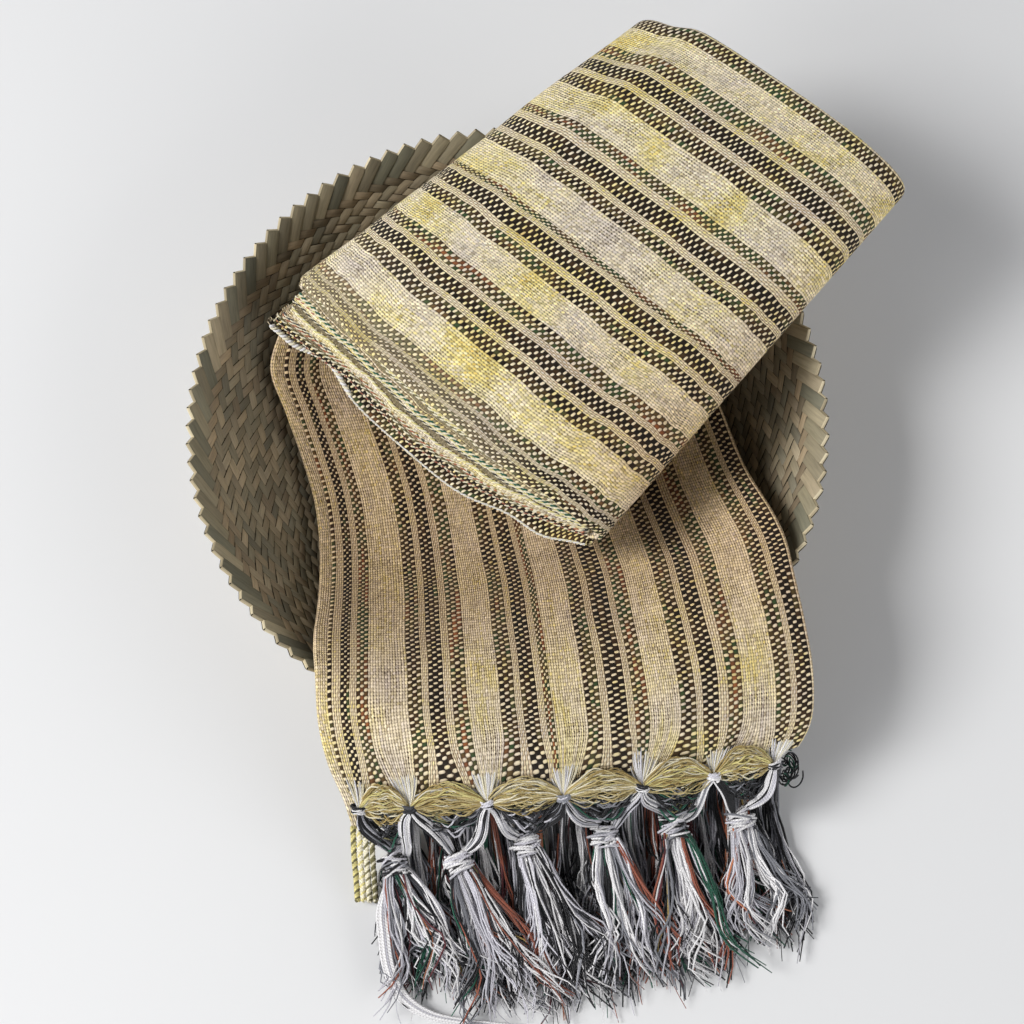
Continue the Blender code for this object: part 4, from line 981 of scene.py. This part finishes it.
# Warmth of each pass from the top down: the upper four have paler dark stripes, and the lowest two
# are darker and warmer as painted shade.
PASS_WARMTH = (-0.85, -0.75, -0.55, -0.45, 0.25, 0.45)
ENDS = np.array(((-0.012, 0.30), (-0.009, 0.62), (-0.004, 0.88), (0.004, 1.0)))
LONG = np.linspace(-1.0, 1.0, 84)      # rows of points along a pass, between its rounded ends
BESIDE = np.linspace(0.02, 0.98, 24)   # points across a pass, between its folds
passes, edge_lines = [], []            # lines along each pass's left fold, from top to bottom
for number, (stand, fold_thread) in enumerate(PASSES):
    middle = 1.0 - (2.0 * number + 1.0) / CORE_LAYERS
    reach = 0.945 + 0.014 * (number % 3)
    flats = np.concatenate([-reach + ENDS[:, 0], LONG * (reach - 0.012), reach - ENDS[::-1, 0]])
    rounded = np.concatenate([ENDS[:, 1], np.ones(len(LONG)), ENDS[::-1, 1]])[:, None]
    half = 0.97 / CORE_LAYERS
    turn = np.radians(np.linspace(90.0, -90.0, 13))
    level = half * np.sin(turn)
    flat_part = np.ones(len(BESIDE))
    section_level, section_share, section_out = [np.concatenate(values) for values in (
        (middle + level, (middle - half) * flat_part, middle - level, (middle + half) * flat_part),
        (0.012 + 0.0 * turn, BESIDE, 0.988 + 0.0 * turn, BESIDE[::-1]),
        (np.cos(turn), 0.0 * flat_part, -np.cos(turn), 0.0 * flat_part))]
    fade = (1.0 - flats ** 6)[:, None]
    ripple = (0.0005 * np.sin(flats * 19.0 + number * 1.7)
              + 0.0003 * np.sin(flats * 43.0 + number * 2.9))[:, None]
    left = np.clip(1.0 - section_share, 0.0, 1.0) ** 4
    push = (left_push(flats[:, None], np.full((1, len(section_out)), middle)) * left
            + 0.0031 * section_out * rounded - 0.0045 * (1.0 - rounded) * left
            + fade * (stand + ripple) * left)
    points = core_point(flats[:, None] + 0.0 * section_level[None, :], section_share[None, :],
                        middle + (section_level[None, :] - middle) * rounded, push)
    pick_number = run_along(points[:, 6])[:, None] / PICK + 31.0 * number
    around = run_along(points[len(flats) // 2])
    threads = fold_thread + (around - around[6]) * THREADS_A_METRE
    count = len(section_out)
    faces = patch_faces(len(flats), count, 1, around=True).tolist()
    faces.append(list(range(count)))
    faces.append(list(range(count * len(flats)))[-count:][::-1])
    mesh = bpy.data.meshes.new(f"bundle_pass_{number + 1}")
    mesh.from_pydata(points.reshape(-1, 3).tolist(), [], faces)
    mesh.shade_smooth()
    layer = mesh.uv_layers.new(name="place")
    corners = np.empty(len(mesh.loops), dtype=np.int64)
    mesh.loops.foreach_get("vertex_index", corners)
    places = np.stack(np.broadcast_arrays(threads[None, :], pick_number), axis=-1)
    layer.data.foreach_set("uv", places.reshape(-1, 2)[corners].ravel())
    mesh.attributes.new("loose", "FLOAT", "POINT")
    warmth_layer = mesh.attributes.new("warmth", "FLOAT", "POINT")
    warmth_layer.data.foreach_set("value", np.full(len(mesh.vertices), PASS_WARMTH[number]))
    edge_lines.append([points[2:-2, at] for at in (1, 3, 5, 7, 9)])
    mesh.materials.append(cotton)
    layer_piece = bpy.data.objects.new(mesh.name, mesh)
    bpy.context.scene.collection.objects.link(layer_piece)
    bpy.ops.object.select_all(action="DESELECT")
    bpy.context.view_layer.objects.active = layer_piece
    layer_piece.select_set(True)
    bpy.ops.object.mode_set(mode="EDIT")
    bpy.ops.mesh.select_all(action="SELECT")
    bpy.ops.mesh.normals_make_consistent(inside=False)
    bpy.ops.object.mode_set(mode="OBJECT")
    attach(layer_piece, "root")
    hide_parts("bundle_core")
    passes.append(layer_piece)

# ---------------------------------------------------------------- the lowest leaf
# The shawl's other end comes out as the lowest layer of the bundle, in the same cotton. Its rolled
# and wavy edge sticks out furthest at the left.

LEAF_WAVE = 0.0016
turns = np.linspace(200.0, 338.0, 150)[:, None]
wave = np.sin(np.radians(turns * 7.0)) + 0.5 * np.sin(np.radians(turns * 13.0))
flat = np.cos(np.radians(turns))
edge = -(left_push(flat, -1.0) + LEAF_WAVE * wave) / BUNDLE_WIDTH
rolled = np.array((  # distance in from the edge, inset, distance along the cloth
    (0.0120, -0.0005, -0.0150), (0.0030, -0.0004, -0.0060), (0.0008, -0.0003, -0.0038),
    (-0.0002, -0.0006, -0.0027), (-0.0008, -0.0013, -0.0018), (-0.0007, -0.0021, -0.0010),
    (0.0002, -0.0027, -0.0002), (0.0018, -0.0029, 0.0014), (0.0050, -0.0027, 0.0046)))
inner = np.linspace(0.010, 0.085, 26)
place = np.concatenate([rolled[:, 0], inner])[None, :]
inset = np.concatenate([rolled[:, 1], np.full(len(inner), -0.0026)])[None, :]
cloth_at = np.concatenate([rolled[:, 2], inner])[None, :]
points = bundle_point(edge + place / BUNDLE_WIDTH, turns, inset)
pick_number = run_along(points[:, 6])[:, None] / PICK
places = np.stack(np.broadcast_arrays(8.0 + cloth_at * THREADS_A_METRE, pick_number), axis=-1)
leaf_points = points
leaf = mesh_piece("lowest_leaf", points, patch_faces(len(turns), place.size, 1), cotton, places,
                  loose=np.zeros(points.shape[:2]))
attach(leaf, "root")
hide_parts("bundle_leaf")

# ---------------------------------------------------------------- yarns
# Cotton and acrylic yarns, loosely twisted, in the fringe, the knots and the edge cords. They
# are spun here as tubes with a slight twist in relief, with painted shade in its furrows.

yarn, tree, shader = finish("fringe_yarn", 0.88)
shader.inputs["Sheen Weight"].default_value = 0.2
shader.inputs["Specular IOR Level"].default_value = 0.3
tone = new_node(tree, "Attribute", attribute_name="tone")
across, along = own_map(tree)
twist = sum_of(tree, "MULTIPLY",
               sum_of(tree, "ADD", across, sum_of(tree, "MULTIPLY", along, 300.0)), 2.0 * math.pi)
twist = sum_of(tree, "ABSOLUTE", sum_of(tree, "SINE", twist))
hairs = noise_of(tree, vector_of(tree, sum_of(tree, "MULTIPLY", across, 7.0),
                                 sum_of(tree, "MULTIPLY", along, 420.0), 0.0), 1.0, 3.0, 0.65)
# Painted shade in the furrows of the twist and a painted highlight on its ridges, mixed with fibre
# noise.
furrow_shade = shades_of(tree, sum_of(tree, "ADD", sum_of(tree, "MULTIPLY", twist, 0.5),
                                sum_of(tree, "MULTIPLY", hairs, 0.5)),
                   ((0.15, (0.55, 0.54, 0.55, 1.0)), (0.5, (0.92, 0.92, 0.92, 1.0)),
                    (0.8, (1.15, 1.15, 1.15, 1.0))))
tree.links.new(mixed(tree, 1.0, tone.outputs["Color"], furrow_shade, "MULTIPLY"),
               shader.inputs["Base Color"])
raised(tree, shader, sum_of(tree, "ADD", twist, hairs), 0.5, 0.0003)

WHITE, LILAC, GREY = srgb(238, 236, 236), srgb(208, 206, 213), srgb(138, 139, 145)
BLACK, GREEN, RUST = srgb(26, 26, 29), srgb(36, 92, 72), srgb(150, 86, 66)
MAROON, ORANGE, MUSTARD = srgb(96, 48, 52), srgb(182, 116, 84), srgb(172, 148, 88)
CREAM, YELLOW, OLIVE = srgb(238, 230, 202), srgb(222, 210, 140), srgb(118, 112, 74)
SMOKE, STRAW = srgb(68, 69, 74), srgb(200, 182, 128)

TIP = 0.06                             # a yarn's end closes to this share of its width


def spun(routes, radii, tones, joints=16, sides=6, beside=(0.31, 0.17, 0.93)):
    """Tubes along routes of points: a lot of points, faces, places and tones for join_parts."""
    t = np.linspace(0.0, 1.0, joints)
    lines = np.stack([through(route, t) for route in routes])
    sizes = np.stack([through(np.atleast_1d(radius).reshape(-1, 1) if np.size(radius) > 1
                              else np.full((2, 1), radius), t)[:, 0] for radius in radii])
    ahead = unit(np.gradient(lines, axis=1))
    side = unit(np.cross(ahead, np.array(beside)))
    up = np.cross(ahead, side)
    turn = np.arange(sides) * 2.0 * math.pi / sides
    rings = (lines[:, :, None] + sizes[:, :, None, None]
             * (np.cos(turn)[:, None] * side[:, :, None] + np.sin(turn)[:, None] * up[:, :, None]))
    tips = [lines[:, end, None, None] + (rings[:, end, None] - lines[:, end, None, None]) * TIP
            for end in (0, -1)]
    rings = np.concatenate([tips[0], rings, tips[1]], axis=1)
    run = np.stack([run_along(line) for line in lines])
    run = np.concatenate([run[:, :1], run, run[:, -1:]], axis=1)
    start = np.arange(len(lines))[:, None, None] * 0.0137
    places = np.stack(np.broadcast_arrays((turn / (2.0 * math.pi))[None, None, :],
                                          run[:, :, None] + start), axis=-1)
    colours = np.broadcast_to(np.asarray(tones)[:, None, None, :], rings.shape[:3] + (4,))
    faces = patch_faces(joints + 2, sides, len(lines), around=True)
    return rings.reshape(-1, 3), faces, places.reshape(-1, 2), colours.reshape(-1, 4)


def from_shades(shades, weights, count):
    """A colour for each yarn, drawn by weight and made a little lighter or darker."""
    pick = np.searchsorted(np.cumsum(weights) / np.sum(weights), uneven(count))
    colours = np.array(shades)[np.minimum(pick, len(shades) - 1)]
    colours[:, :3] *= 0.85 + 0.3 * uneven(count, 1)
    return colours


def yarn_piece(name, lots, node):
    """Joins lots of yarns as one piece that stands for a node."""
    piece = join_parts(name, lots, yarn)
    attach(piece, "root")
    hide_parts(node)
    return piece


# ---------------------------------------------------------------- edge cords of the bundle
# The folded long edges in the bundle are warped with heavier twisted cords, cream and yellow,
# green, or black; they lie along the left fold of each pass. The lowest leaf has white ones.


def cord(line, shades, size, twist=0.0042):
    """Two plies twisted round each other along a line: two lots for join_parts."""
    count = len(line) * 2
    line = through(line, np.linspace(0.0, 1.0, count))
    ahead = unit(np.gradient(line, axis=0))
    side = unit(np.cross(ahead, np.array([0.1, 0.2, 0.97])))
    up = np.cross(side, ahead)
    lots = []
    for ply, shade in enumerate(shades):
        turn = (run_along(line) / twist * 2.0 * math.pi + ply * math.pi)[:, None]
        route = line + size * 0.62 * (np.cos(turn) * side + np.sin(turn) * up)
        lots.append(spun([route], [size * 0.66], [shade], count, 4, (0.1, 0.2, 0.97)))
    return lots


outward = unit(np.array([*(BACK_FOLD[0] - BACK_FOLD[1]), 0.0]))
lots = []
for number, at, shades, size in (
        (0, 1, (CREAM, YELLOW), 0.00085), (0, 2, (CREAM, OLIVE), 0.00080),
        (0, 4, (CREAM, CREAM), 0.00075), (1, 1, (GREEN, CREAM), 0.00085),
        (1, 2, (CREAM, YELLOW), 0.00070), (1, 4, (CREAM, CREAM), 0.00075),
        (2, 0, (CREAM, ORANGE), 0.00070), (2, 2, (BLACK, CREAM), 0.00055),
        (3, 0, (CREAM, YELLOW), 0.00080), (3, 4, (CREAM, MUSTARD), 0.00075),
        (4, 1, (SMOKE, CREAM), 0.00060), (4, 3, (ORANGE, CREAM), 0.00070),
        (5, 0, (CREAM, OLIVE), 0.00075), (5, 4, (CREAM, RUST), 0.00075)):
    lots += cord(edge_lines[number][at] + outward * 0.0004, shades, size)
for at, first, last, shades, size in (
        (3, 4, 62, (WHITE, CREAM), 0.00140), (6, 6, 66, (WHITE, CREAM), 0.00120),
        (4, 60, 149, (CREAM, WHITE), 0.00060)):
    lots += cord(leaf_points[first:last, at] - np.array([0.0003, 0.0, 0.0]), shades, size)
cords = join_parts("bundle_edge_cords", lots, yarn)
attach(cords, "root")
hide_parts("bundle_core")

# ---------------------------------------------------------------- hem: weft loops, knots and net
# Under the last pick the weft comes back in loose loops. Warp ends are knotted in bunches, white
# and grey ones together, and half of each bunch goes to either side, to a second row of knots.

HEM_LIFT = 0.0032                      # how far the knots lie above the cloth
LOOP_SPREAD = 0.0044                   # how far the weft loops open
TASSELS = (
    # head x, y, z          tips x, y      half spread of the tips
    (-0.0570, -0.2220, 0.0150, -0.0370, -0.2820, 0.0190),
    (-0.0240, -0.2210, 0.0150, 0.0060, -0.2900, 0.0190),
    (0.0100, -0.2120, 0.0170, 0.0370, -0.2840, 0.0160),
    (0.0500, -0.2080, 0.0180, 0.0675, -0.2800, 0.0170),
    (0.0850, -0.2040, 0.0190, 0.1000, -0.2740, 0.0175),
    (0.1190, -0.2000, 0.0200, 0.1320, -0.2560, 0.0180),
)
knots, knot_across, knot_along, knot_normal = strip_frame(KNOT_PLACES,
                                                          np.full(KNOT_PLACES.size, HEM))
knots = knots + HEM_LIFT * knot_normal
lots = []


def wavy(count, high, turns):
    """A small random wave along a strand, nothing at its ends."""
    t = np.linspace(0.0, 1.0, count)
    return high * np.sin(math.pi * t) * np.sin(2.0 * math.pi * (turns * t + uneven(1)[0]))


# Weft loops between neighbouring knots: two straw-coloured bunches that sag and a dark tangle
# behind them. Each is shades, their weights, from and to where it opens, yarns, drop, radius and
# how untidy it is.
LOOPS = (
    ((BLACK, GREEN, SMOKE, OLIVE, GREY, LILAC), (8, 2, 4, 1, 3, 1), 0.2, 5.6, 40, -0.0030,
     0.00048, 0.0020),
    ((MUSTARD, STRAW, CREAM, OLIVE, BLACK), (5, 5, 2, 2, 1), 0.4, 2.5, 18, -0.0012,
     0.00034, 0.0013),
    ((MUSTARD, STRAW, CREAM, YELLOW), (4, 6, 4, 2), -3.0, 0.75, 50, 0.0, 0.00036, 0.0008))
part = np.linspace(0.02, 0.98, 15)
for gap in range(len(TASSELS)):
    full = 0.82 + 0.36 * uneven(1)[0]
    share = KNOT_PLACES[gap] + (KNOT_PLACES[gap + 1] - KNOT_PLACES[gap]) * part
    point, across, along, normal = strip_frame(share, np.full(part.size, HEM))
    for shades, weights, low, high, count, drop, thick, mess in LOOPS:
        routes, radii = [], []
        for k in range(count):
            spread = low + (high * full - low) * (k + uneven(1)[0]) / count
            bulge = np.sin(np.pi * part ** (0.8 + 0.5 * uneven(1)[0])) ** (
                0.6 + 0.6 * uneven(1)[0])
            lift = (HEM_LIFT + drop + 0.0020 * (uneven(1)[0] - 0.5) + 0.0010 * bulge
                    + wavy(part.size, mess, 2.3) + 0.0008 * (spread < 0.0) * bulge)
            opened = (LOOP_SPREAD * spread * bulge + wavy(part.size, mess, 2.6)
                      + wavy(part.size, mess, 1.1)
                      - LOOP_SPREAD * 0.55 * np.sin(np.pi * part))
            routes.append(point + along * opened[:, None] + normal * lift[:, None])
            radii.append(thick * (0.7 + 0.6 * uneven(1)[0]))
        lots.append(spun(routes, radii, from_shades(shades, weights, count), 17, 4,
                         (0.0, 0.3, 1.0)))

# White warp ends that leave the cloth and draw together at each knot.
WARP_ENDS = 36
for knot in KNOT_PLACES:
    routes = []
    for k in range(WARP_ENDS):
        fan = 2.0 * (k + 0.4 * uneven(1)[0]) / WARP_ENDS - 1.0
        share = min(max(knot + fan * 0.036, 0.004), 0.992)
        back = 0.0130 + 0.012 * uneven(1)[0]
        lengths = np.array([HEM - back, HEM - back * 0.55, HEM - back * 0.2, HEM - 0.001])
        point, across, along, normal = strip_frame(
            knot + (share - knot) * np.array([1.0, 0.74, 0.34, 0.06]), lengths)
        lift = np.array([-0.0006, 0.0006, 0.0020, 0.0034]) + 0.0004 * uneven(1)[0]
        routes.append(point + normal * lift[:, None])
    lots.append(spun(routes, [(0.00016, 0.00030, 0.00042, 0.00038)] * WARP_ENDS,
                     from_shades((WHITE, LILAC, CREAM), (8, 2, 7), WARP_ENDS), 8, 4,
                     (1.0, 0.1, 0.2)))


def wraps(middle, ahead, side, up, wide, high, turns, step, size, shades, weights):
    """A yarn wound round a bunch: turns of a coil, a little uneven and askew."""
    steps = int(turns * 14) + 1
    turn = np.linspace(0.0, turns * 2.0 * math.pi, steps) + 6.28 * uneven(1)[0]
    sway = 0.12 * np.sin(turn * 0.7 + 3.0 * uneven(1)[0])
    along = (np.linspace(-0.5, 0.5, steps) * turns * step
             + wide * (uneven(1)[0] - 0.5) * 0.9 * np.cos(turn))
    line = (middle + along[:, None] * ahead
            + ((1.0 + sway) * wide * np.cos(turn))[:, None] * side
            + ((1.0 - sway) * high * np.sin(turn))[:, None] * up)
    return spun([line], [size], from_shades(shades, weights, 1), steps, 6, tuple(ahead))


KNOT_YARNS = ((BLACK, WHITE), (BLACK, SMOKE), (LILAC, BLACK), (LILAC, GREY), (WHITE, BLACK),
              (LILAC, WHITE), (BLACK, WHITE))
for number, shades in enumerate(KNOT_YARNS):
    for ply in range(6):
        lots.append(wraps(knots[number] + knot_along[number] * (0.0006 * ply - 0.0016),
                          knot_along[number], knot_across[number], knot_normal[number],
                          0.0034 - 0.0003 * (ply % 3), 0.0026, 1.2, 0.0010, 0.0006, shades,
                          (3, 1) if ply < 4 else (1, 2)))

# Legs of the net, half a bunch each, flat and slightly slack.
LEG_YARNS = 15
for number in range(len(KNOT_PLACES)):
    for side in (-1, 1):
        tassel = number - 1 if side < 0 else number
        if not 0 <= tassel < len(TASSELS):
            continue
        start = knots[number] + knot_along[number] * 0.0016
        end = np.array(TASSELS[tassel][:3]) + np.array([-side * 0.0034, 0.0056, 0.0030])
        beside = unit(np.cross(unit(end - start), np.array([0.0, 0.0, 1.0])))
        routes, radii = [], []
        for k in range(LEG_YARNS):
            fan = 2.0 * (k + 0.5 * uneven(1)[0]) / LEG_YARNS - 1.0
            slack = 0.0016 + 0.0008 * uneven(1)[0]
            route = [start + beside * fan * 0.0012]
            for part in (0.2, 0.4, 0.6, 0.8, 1.0):
                opened = math.sin(math.pi * min(part * 0.92 + 0.04, 1.0)) ** 0.6
                bow = 0.0022 * math.sin(4.0 * part + 1.7 * number + side)
                rise = 0.0012 * (uneven(1)[0] - 0.4) - 0.0010 * fan * fan
                route.append(start + (end - start) * part
                             + beside * (fan * (0.0012 + slack * opened) + bow)
                             + np.array([0.0, -0.002, 0.003]) * math.sin(math.pi * part)
                             + np.array([0.0, 0.0, rise]))
            routes.append(np.array(route))
            radii.append(0.00040 + 0.00018 * uneven(1)[0])
        dark_leg = (number, side) in ((0, 1), (3, -1), (5, 1))
        tones = from_shades((WHITE, LILAC, GREY, BLACK), (1, 2, 3, 9) if dark_leg
                            else (10, 4, 2, 3), LEG_YARNS)
        lots.append(spun(routes, radii, tones, 13, 5))

# Dark curls of weft that come round the right edge.
CURLS = 34
routes = []
for k in range(CURLS):
    middle = np.array([0.1438, -0.1705, 0.0240]) + (uneven(3) - 0.5) * np.array(
        [0.006, 0.032, 0.014])
    turn = np.linspace(0.0, 3.0 + 3.0 * uneven(1)[0], 9) + 6.28 * uneven(1)[0]
    size = 0.0012 + 0.0028 * uneven(1)[0] * np.linspace(0.6, 1.3, 9)
    routes.append(middle + np.stack([size * np.cos(turn), 1.3 * size * np.sin(turn) + 0.0006 * turn,
                                     0.0012 * turn - 0.003 + 0.001 * np.sin(2.3 * turn)], axis=1))
lots.append(spun(routes, [0.00042] * CURLS,
                 from_shades((BLACK, SMOKE, GREEN, GREY), (8, 3, 2, 1), CURLS), 18, 5))
yarn_piece("hem_yarns", lots, "hem_knots")

# ---------------------------------------------------------------- tassels
# Each knot of the second row holds a bunch of warp ends, white, grey and black with a few in
# colours. They fan out and settle on the surface in uneven locks.

LONG_LOCK = np.array((
    (-0.0635, -0.2420, 0.0110), (-0.0625, -0.2560, 0.0105), (-0.0600, -0.2720, 0.0090),
    (-0.0535, -0.2860, 0.0060), (-0.0400, -0.2950, 0.0028), (-0.0230, -0.2985, 0.0026),
    (-0.0050, -0.3005, 0.0024), (0.0080, -0.3012, 0.0016)))
STRAND_SHADES = (WHITE, LILAC, GREY, BLACK, SMOKE, GREEN, RUST, MAROON, ORANGE, MUSTARD)
LOCKS = 24                             # locks in each tassel
YARNS_A_LOCK = 9
LOOSE_FIBRES = 34                      # single fibres beside each tassel
COIL_TURNS = 14                        # loops drawn round each second knot
LONG_YARNS = 26                        # yarns in the long lock at the left
UNDER_LOCKS = 20                       # locks behind each tassel
UNDER_YARNS = 8
UNDER_FALL = 8.0                       # they drop straight down before they lie flat


def lock_of(start, end, pile, count, broad, shades_here, slack, fall=1.9):
    """Routes, radii and tones of one lock: strands that wave together and part at the tips."""
    ahead = unit((end - start) * np.array([1.0, 1.0, 0.0]))
    sideways = np.array([-ahead[1], ahead[0], 0.0])
    t = np.linspace(0.0, 1.0, 9)
    phase, turns = uneven(2) * np.array([6.28, 0.9])
    common = (slack * np.sin(2.0 * math.pi * (0.55 + turns) * t + phase) * t ** 0.8
              + slack * 0.35 * np.sin(2.0 * math.pi * (1.7 + turns) * t + phase) * t)
    routes, radii, tones = [], [], []
    for k in range(count):
        off = uneven(6) - 0.5
        reach = t * (1.0 + 0.26 * off[4])
        line = start + (end - start) * reach[:, None]
        line[:, 2] = pile + (start[2] - pile) * np.maximum(1.0 - reach, 0.0) ** fall
        own = broad * (2.0 * (k + off[5]) / max(count - 1, 1) - 1.0)
        line += sideways * (common + own * (0.55 + 0.75 * t ** 2)
                            + 0.0026 * np.sin(9.0 * t + 12.0 * off[0]) * t)[:, None]
        line[:, 2] += off[1] * 0.0022 * (0.4 + t) + 0.0008 * np.cos(2.0 * own / broad)
        line += ahead * off[2] * 0.004
        line[:, 2] = np.maximum(line[:, 2], 0.0010)
        routes.append(line)
        thick = 0.00036 + 0.00026 * uneven(1)[0]
        radii.append((thick * 0.9, thick, thick * 1.1, thick, thick * 0.95, thick * 0.6))
        tones.append(shades_here if off[3] < 0.22
                     else from_shades(STRAND_SHADES, (7, 5, 4, 4, 2, 1, 1, 1, 0.5, 0.3), 1)[0])
    tones = np.array(tones)
    tones[:, :3] *= 0.82 + 0.36 * uneven(len(tones), 1)
    return routes, radii, tones


def lock_lot(locks):
    """One lot of many locks."""
    routes, radii, tones = [], [], []
    for some_routes, some_radii, some_tones in locks:
        routes += some_routes
        radii += some_radii
        tones.append(some_tones)
    return spun(routes, radii, np.concatenate(tones), 11, 4, (0.9, 0.3, 0.2))


for index, row in enumerate(TASSELS):
    head = np.array(row[:3])
    tips = np.array((row[3], row[4], 0.0))
    ahead = unit((tips - head) * np.array([1.0, 1.0, 0.35]))
    sideways = unit(np.cross(ahead, np.array([0.0, 0.0, 1.0])))
    sideways = -sideways if sideways[0] < 0.0 else sideways
    upward = unit(np.cross(sideways, ahead))
    upward = -upward if upward[2] < 0.0 else upward
    lots = []
    # The knot: loops of the bunch's own yarns, drawn round it and askew.
    for ply in range(COIL_TURNS):
        shades = ((WHITE, LILAC), (LILAC, GREY), (WHITE, GREY))[ply % 3]
        if index in (0, 4) and ply % 4 == 1:
            shades = (BLACK, SMOKE)
        middle = head + ahead * (0.0007 * ply - 0.0050) + sideways * (uneven(1)[0] - 0.5) * 0.003
        lots.append(wraps(middle, ahead, sideways, upward, 0.0072 - 0.0030 * uneven(1)[0], 0.0046,
                          1.05, 0.0016, 0.00062, shades, (3, 1)))
    locks = []
    for lock in range(LOCKS):
        level = (lock % 5) / 4.0
        fan = 2.0 * ((lock * 0.618 + 0.11 * index) % 1.0) - 1.0
        reach = 0.72 + 0.34 * uneven(1)[0]
        start = head + ahead * 0.003 + sideways * fan * 0.0058 + upward * (level - 0.5) * 0.0050
        end = start + (tips + sideways * fan * 1.2 * row[5] - start) * reach
        end = end + sideways * 0.014 * (uneven(1)[0] - 0.5)
        weights = ((1, 1, 2, 8, 4, 2, 1, 2, 0, 0) if level < 0.3 else
                   (7, 5, 3.5, 3, 1.6, 0.8, 0.8, 0.4, 0.3, 0.1))
        main = from_shades(STRAND_SHADES, weights, 1)[0]
        locks.append(lock_of(start, end, 0.0012 + 0.0095 * level, YARNS_A_LOCK,
                             0.0014 + 0.0014 * uneven(1)[0], main, 0.0034 + 0.0048 * uneven(1)[0]))
    lots.append(lock_lot(locks))
    # Single fibres that have come loose.
    routes = []
    for k in range(LOOSE_FIBRES):
        off = uneven(6) - 0.5
        begin = (head + (tips - head) * (0.35 + 0.5 * uneven(1)[0])
                 + sideways * off[0] * row[5] * 2.0)
        begin[2] = 0.003 + 0.008 * uneven(1)[0]
        reach = 0.014 + 0.018 * uneven(1)[0]
        bend = sideways * off[1] * 0.018
        finish_at = begin + ahead * reach + sideways * off[2] * 0.016
        finish_at[2] = 0.0006 + 0.004 * uneven(1)[0]
        routes.append(np.array([begin, (begin + finish_at) / 2.0 + bend * 0.5, finish_at]))
    tones = from_shades(STRAND_SHADES, (6, 4, 4, 3, 2, 2, 2, 1, 1, 0), LOOSE_FIBRES)
    lots.append(spun(routes, [0.00020] * LOOSE_FIBRES, tones, 10, 4, (0.9, 0.3, 0.2)))
    # One long lock lies along the surface at the left.
    if index == 0:
        routes = []
        for k in range(LONG_YARNS):
            turn, out = 6.28 * uneven(1)[0], 0.0034 * math.sqrt(uneven(1)[0])
            offset = np.array([math.cos(turn) * out, math.cos(turn) * out * 0.5,
                               abs(math.sin(turn)) * out * 0.5])
            first = head + ahead * 0.003 - sideways * 0.004
            end = int(len(LONG_LOCK) - round(1.4 * uneven(1)[0]))
            routes.append(np.concatenate([[first], LONG_LOCK[:end] + offset]))
        lots.append(spun(routes, [(0.0006, 0.0007, 0.00065, 0.0003)] * LONG_YARNS,
                         from_shades((WHITE, LILAC, GREY), (9, 4, 1), LONG_YARNS), 34, 6,
                         (0.2, 0.2, 0.95)))
    yarn_piece(f"tassel_yarns_{index + 1}", lots, f"tassel_{index + 1}")

# Fringes of the strip's under layers: a dark, matted row behind the tassels, on the surface.
for index, (left, right) in enumerate(zip(knots, knots[1:])):
    locks = []
    for lock in range(UNDER_LOCKS):
        share = (lock + uneven(1)[0]) / UNDER_LOCKS
        root = left + (right - left) * share
        start = root + np.array([0.004, 0.003 + 0.002 * uneven(1)[0],
                                 -0.0045 - 0.004 * uneven(1)[0]])
        start[0] = max(start[0], -0.060)
        long = 0.056 + 0.034 * uneven(1)[0]
        end = start + np.array([0.008 + 0.020 * (uneven(1)[0] - 0.5), -long, 0.0])
        main = from_shades(STRAND_SHADES, (3, 3, 4, 8, 5, 1.5, 1.2, 1, 0.3, 0), 1)[0]
        locks.append(lock_of(start, end, 0.0014 + 0.004 * uneven(1)[0], UNDER_YARNS, 0.0022, main,
                             0.0034 + 0.0030 * uneven(1)[0], UNDER_FALL))
    yarn_piece(f"under_fringe_yarns_{index + 1}", [lock_lot(locks)], f"tassel_{index + 1}")

# ---------------------------------------------------------------- under layer's twisted end
# At the left corner the end of the folded-under layer shows, below the hem: four cords, each of
# three yarns twisted from the cotton warp and cut straight.

UNDER_ROWS = np.array((
    (-0.0790, -0.2050, 0.0310, -0.0665, -0.2050, 0.0310),
    (-0.0790, -0.2180, 0.0200, -0.0665, -0.2185, 0.0195),
    (-0.0785, -0.2280, 0.0110, -0.0660, -0.2290, 0.0105),
    (-0.0780, -0.2385, 0.0050, -0.0655, -0.2390, 0.0050)))
UNDER_CORDS = 4
lots = []
t = np.linspace(0.0, 1.0, 60)
for cord_number in range(UNDER_CORDS):
    share = (cord_number + 0.5) / UNDER_CORDS
    middle = through(UNDER_ROWS[:, :3] * (1.0 - share) + UNDER_ROWS[:, 3:] * share, t)
    for ply in range(3):
        turn = t * 2.0 * math.pi * 9.0 + ply * 2.0 * math.pi / 3.0 + cord_number
        line = middle + np.stack([0.00085 * np.cos(turn), 0.0005 * np.sin(turn),
                                  0.00085 * np.sin(turn) + 0.0006], axis=1)
        lots.append(spun([line], [0.00085], from_shades((CREAM, YELLOW, OLIVE), (6, 3, 3), 1),
                         t.size, 6, (1.0, 0.1, 0.1)))
yarn_piece("under_layer_cords", lots, "under_fringe")
